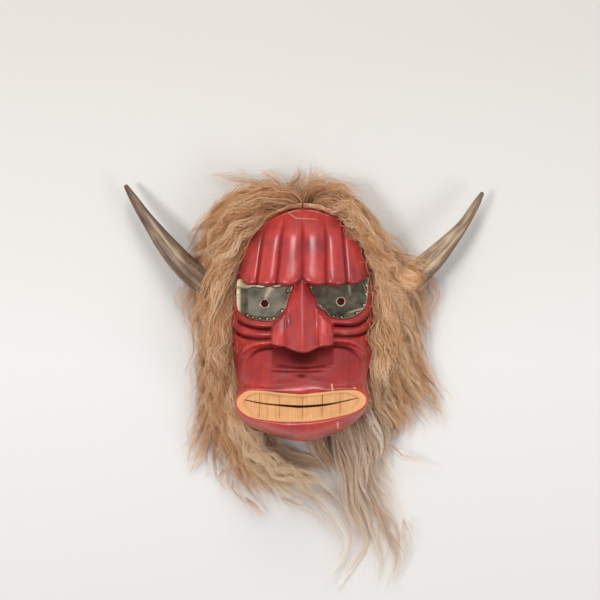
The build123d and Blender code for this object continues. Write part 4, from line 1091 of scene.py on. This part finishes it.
# Dark root stops: partly the hair's own colour, partly painted shade at the roots beside the mask.
mane_hair = hair_material("ginger and tan animal hair",
                          [(0.0, "#34170A"), (0.35, "#834923"), (0.7, "#CB8A52"), (1.0, "#F2CB9E")],
                          [(0.0, "#B0662F"), (0.3, "#E3A163"), (0.65, "#FBC98F"), (1.0, "#FFF0D2")], 0.29)
beard_hair = hair_material("grey and blond animal hair",
                           [(0.0, "#3C1F12"), (0.35, "#84522F"), (0.7, "#C4966F"), (1.0, "#F2DCC4")],
                           [(0.0, "#E6B488"), (0.3, "#F8D4AC"), (0.65, "#FFEBD0"), (1.0, "#FFF8EC")], 0.26)


def mane_height(t, layer):
    """Full beside the mask, falling to the table along the lock."""
    rise = np.sin(np.clip(t * 2.6, 0, 1) * math.pi / 2)
    return 26 + 12 * layer + rise * (4 + 20 * layer) - (20 + 34 * layer) * smooth_step(0.3, 1.0, t)


def beard_height(t, layer):
    return 12 + 26 * layer - (9 + 24 * layer) * smooth_step(0.05, 0.75, t)


# Loose wisps past the mass of hair: plan guide, number of hairs, and 0 for the mane or 1 for the beard.
WISPS = [
    ([(-6, 163), (0, 181), (10, 194), (6, 207)], 34, 0), ([(3, 166), (14, 184), (24, 191), (32, 203)], 34, 0),
    ([(-16, 166), (-13, 183), (-4, 195), (-8, 208)], 34, 0), ([(-30, 168), (-36, 184), (-48, 196),
      (-66, 199)], 26, 0),
    ([(14, 168), (30, 182), (44, 186), (60, 182)], 26, 0), ([(28, 168), (50, 176), (72, 166), (90, 150)], 26, 0),
    ([(8, 164), (12, 183), (13, 199), (8, 215)], 14, 0), ([(11, 164), (17, 180), (19, 196), (17, 213)], 14, 0),
    ([(0, 152), (0, 178), (-5, 192)], 22, 0), ([(6, 150), (20, 170), (28, 184), (24, 200)], 22, 0),
    ([(-52, 177), (-68, 185), (-83, 188), (-104, 196), (-125, 194), (-129, 183)], 8, 0),
    ([(-70, 172), (-80, 182), (-96, 188), (-112, 178), (-120, 166), (-125, 153)], 8, 0),
    ([(-99, 153), (-116, 141), (-132, 126), (-143, 109), (-149, 96)], 16, 0),
    ([(-42, 177), (-65, 190), (-86, 204), (-107, 207)], 7, 0),
    ([(-126, 80), (-142, 63), (-156, 44), (-162, 29), (-154, 11), (-147, -7), (-142, -25)], 12, 0),
    ([(-125, 63), (-138, 47), (-150, 32), (-154, 16), (-149, -2), (-146, -15)], 12, 0),
    ([(-116, -19), (-128, -38), (-136, -58), (-140, -82), (-147, -97), (-140, -108)], 14, 0),
    ([(-122, -70), (-130, -86), (-135, -99), (-130, -109), (-123, -100)], 10, 0),
    ([(162, 67), (167, 52), (171, 34), (168, 16), (173, -2), (176, -23)], 18, 0),
    ([(147, 52), (153, 37), (155, 19), (152, 1), (159, -17), (169, -33)], 16, 0),
    ([(136, 44), (141, 26), (143, 8), (139, -7), (149, -25)], 16, 0),
    ([(121, 32), (129, 11), (143, -15), (152, -35), (173, -23)], 10, 0),
    ([(130, -32), (150, -48), (168, -71), (184, -92), (190, -113), (189, -134)], 16, 0),
    ([(124, -7), (142, -35), (161, -66), (173, -87)], 14, 0),
    ([(108, -153), (129, -168), (150, -176), (174, -182), (188, -188)], 7, 0),
    ([(103, 108), (119, 98), (138, 93), (159, 91)], 10, 0),
    ([(19, -205), (38, -224), (52, -247), (59, -274), (54, -297), (40, -319), (19, -338), (-4, -354)], 12, 1),
    ([(-4, -213), (19, -228), (38, -247), (50, -270), (54, -292), (46, -316), (30, -338), (12, -356)], 12, 1),
    ([(-29, -223), (-4, -234), (22, -251), (43, -273), (53, -294)], 10, 1),
    ([(96, -249), (100, -282), (100, -316), (98, -354)], 12, 1),
    ([(129, -249), (137, -276), (142, -303), (144, -324)], 10, 1),
    ([(-74, -223), (-60, -240), (-42, -252), (-24, -261)], 12, 0),
    ([(113, -268), (123, -291), (125, -315), (116, -340), (107, -360)], 12, 1),
    ([(-124, -147), (-136, -163), (-149, -177), (-156, -193)], 12, 0),
    ([(-131, -134), (-142, -153), (-154, -164), (-164, -169)], 10, 0),
    ([(-103, -185), (-99, -207), (-90, -227)], 14, 0), ([(-90, -198), (-81, -219), (-66, -236),
      (-48, -248)], 14, 0)]
rng = np.random.default_rng(7)
share_now = 1.0
fuller = 1 / share_now**0.5
for side, guides, locks in (("left", LEFT_MANE, 98), ("right", RIGHT_MANE, 90)):
    for part in range(3):
        points, tone_and_shade = lock_curves(rng, guides, locks, int(17 * share_now), mane_height, spread=7.5,
                                   wave=(2.2, 4.4, 6.2)[part], wavelength=(62, 45, 36)[part],
                                   frizz=(0.8, 1.7, 2.6)[part], pale_end=0.7 if side == "left" else 0.0)
        hair_mesh(f"{side}_mane_hair_{part + 1}", points, tone_and_shade, rng.uniform(0.45, 0.84, len(points)) * fuller,
                  mane_hair, f"{side}_mane" if part == 0 else None)
per_lock = int(18 * share_now)
made = [lock_curves(rng, guides, locks, per_lock, beard_height, spread=5.0, wave=1.6, wavelength=60)
        for guides, locks in ((LEFT_BEARD[:4], 42), (LEFT_BEARD[5:], 12))]
points, tone_and_shade = np.concatenate([m[0] for m in made]), np.concatenate([m[1] for m in made])
# The left beard's tone is lowered: partly its darker grey hair, partly painted shade under the chin.
hair_mesh("left_beard_hair", points, tone_and_shade * 0.7, rng.uniform(0.4, 0.7, len(points)) * fuller, beard_hair,
          "left_beard")
for part in range(2):
    points, tone_and_shade = lock_curves(rng, RIGHT_BEARD, 50, per_lock, beard_height, spread=6.5, wave=2.6,
                               wavelength=75, frizz=0.9, reach=(0.38, 1.0), shorter=5.0)
    hair_mesh(f"right_beard_hair_{part + 1}", points, tone_and_shade, rng.uniform(0.4, 0.7, len(points)) * fuller,
              beard_hair, "right_beard" if part == 0 else None)

# Flyaway hairs, one by one, that soften the outline.
for name, guides, count, height, material, slot, wave, wavelength in (
        ("left_mane", LEFT_MANE, 480, mane_height, mane_hair, "mane_hair", 6.0, 36),
        ("right_mane", RIGHT_MANE, 480, mane_height, mane_hair, "mane_hair", 6.0, 36),
        ("left_beard", LEFT_BEARD, 70, beard_height, beard_hair, "beard_hair", 3.0, 70),
        ("right_beard", RIGHT_BEARD, 170, beard_height, beard_hair, "beard_hair", 4.0, 70)):
    points, tone_and_shade = lock_curves(rng, guides, int(count * share_now), 1, height, spread=19.0, wave=wave,
                               wavelength=wavelength, frizz=2.0, reach=(0.6, 1.0), shorter=0.8)
    hair_mesh(f"{name}_flyaway_hairs", points, tone_and_shade * 0.5 + 0.45, rng.uniform(0.26, 0.4, len(points)),
              material)


def wisp_height(t, layer):
    return 14 + 12 * layer - (11 + 8 * layer) * smooth_step(0.1, 1.0, t)


for kind, (name, material, slot) in enumerate((("mane", mane_hair, "mane_hair"),
                                               ("beard", beard_hair, "beard_hair"))):
    made = [lock_curves(rng, [guide, guide], 4, count // 3 + 1, wisp_height, spread=6.0, wave=2.2, frizz=1.0,
                        reach=(0.6, 1.0))
            for guide, count, which in WISPS if which == kind]
    points, tone_and_shade = np.concatenate([m[0] for m in made]), np.concatenate([m[1] for m in made])
    hair_mesh(f"loose_{name}_wisps", points, tone_and_shade * 0.5 + 0.45, rng.uniform(0.3, 0.48, len(points)), material,
              thin_root=0.85)

# Stray hairs that lie across the forehead: plan guides and starting heights.
STRAYS = [([(-19, 141), (-9, 135), (8, 133), (26, 131)], 66), ([(-46, 133), (-58, 119), (-69, 104),
            (-78, 88)], 52),
          ([(74, 109), (84, 92), (90, 72), (92, 58)], 50)]


def stray_height(start):
    """A stray hair climbs 2 mm along its length."""
    return lambda t, layer: start + 2 * t


made = [lock_curves(rng, [guide, guide], 1, 3, stray_height(start), spread=0.8, wave=0.5, reach=(1.0, 1.0))
        for guide, start in STRAYS]
points, tone_and_shade = np.concatenate([m[0] for m in made]), np.concatenate([m[1] for m in made])
hair_mesh("forehead_stray_hairs", points, tone_and_shade * 0.2 + 0.75, np.full(len(points), 0.4), mane_hair)

# ---- Stage, lights and camera ----
# A pale paper sweep on a table. Two soft lights stand past the top of the head and one at each side. The one on
# the left is the strongest. The camera looks straight down on the mask as it lies on its back.
bpy.ops.mesh.primitive_plane_add(size=6.0, location=(0, 0, -0.0004))
floor = bpy.context.object
floor.name = "paper_sweep"
paper = new_material("matte white paper")
up = add(paper, "SeparateXYZ", Vector=add(paper, "TexCoord").outputs["Object"]).outputs["Y"]
up = add(paper, "MapRange", {1: -0.5, 2: 0.5}, _0=up).outputs[0]
# The paper is darker towards the top and a little at the bottom: painted shade for the fall of the light across
# the table.
paper_shade_stops = [(0.1, "#D4D1CF"), (0.45, "#D9D7D5"), (0.9, "#C9C5BF")]
shade = add(paper, "ValToRGB", {"stops": paper_shade_stops}, Fac=up).outputs[0]
finish_material(paper, add(paper, "BsdfPrincipled", {"Roughness": 0.9}, Base_Color=shade))
floor.data.materials.append(paper)


def soft_light(name, place, aim, size, watts, colour="#FFFFFF"):
    light = bpy.data.lights.new(name, "AREA")
    light.shape, light.size, light.size_y = "RECTANGLE", size[0], size[1]
    light.energy, light.color = watts, linear(colour)[:3]
    obj = bpy.data.objects.new(name, light)
    bpy.context.scene.collection.objects.link(obj)
    obj.location = place
    obj.rotation_euler = (Vector(aim) - Vector(place)).to_track_quat("-Z", "Y").to_euler()
    return obj


soft_light("key_softbox", (-1.9, -0.42, 2.9), (0, 0, 0.05), (0.75, 0.75), 52)
soft_light("head_softbox", (-0.05, 2.36, 1.9), (0, 0.0, 0.05), (1.1, 1.1), 38)
soft_light("top_softbox", (-0.05, 1.6, 2.6), (0, 0.0, 0.05), (1.1, 0.9), 14)
soft_light("right_softbox", (2.0, -1.3, 1.9), (0.2, -0.1, 0), (1.2, 1.2), 26)
world = bpy.data.worlds.new("studio")
bpy.context.scene.world = world
world.use_nodes = True
world.node_tree.nodes["Background"].inputs["Color"].default_value = linear("#F4F3F2")
world.node_tree.nodes["Background"].inputs["Strength"].default_value = 0.45
bpy.context.scene.view_settings.view_transform = "Standard"

camera_data = bpy.data.cameras.new("camera")
camera_data.sensor_width, camera_data.lens = 36.0, 69.2
camera = bpy.data.objects.new("camera", camera_data)
bpy.context.scene.collection.objects.link(camera)
camera.location = (-0.0038, 0.0315, 1.5)
camera.rotation_euler = (0, 0, 0)
bpy.context.scene.camera = camera
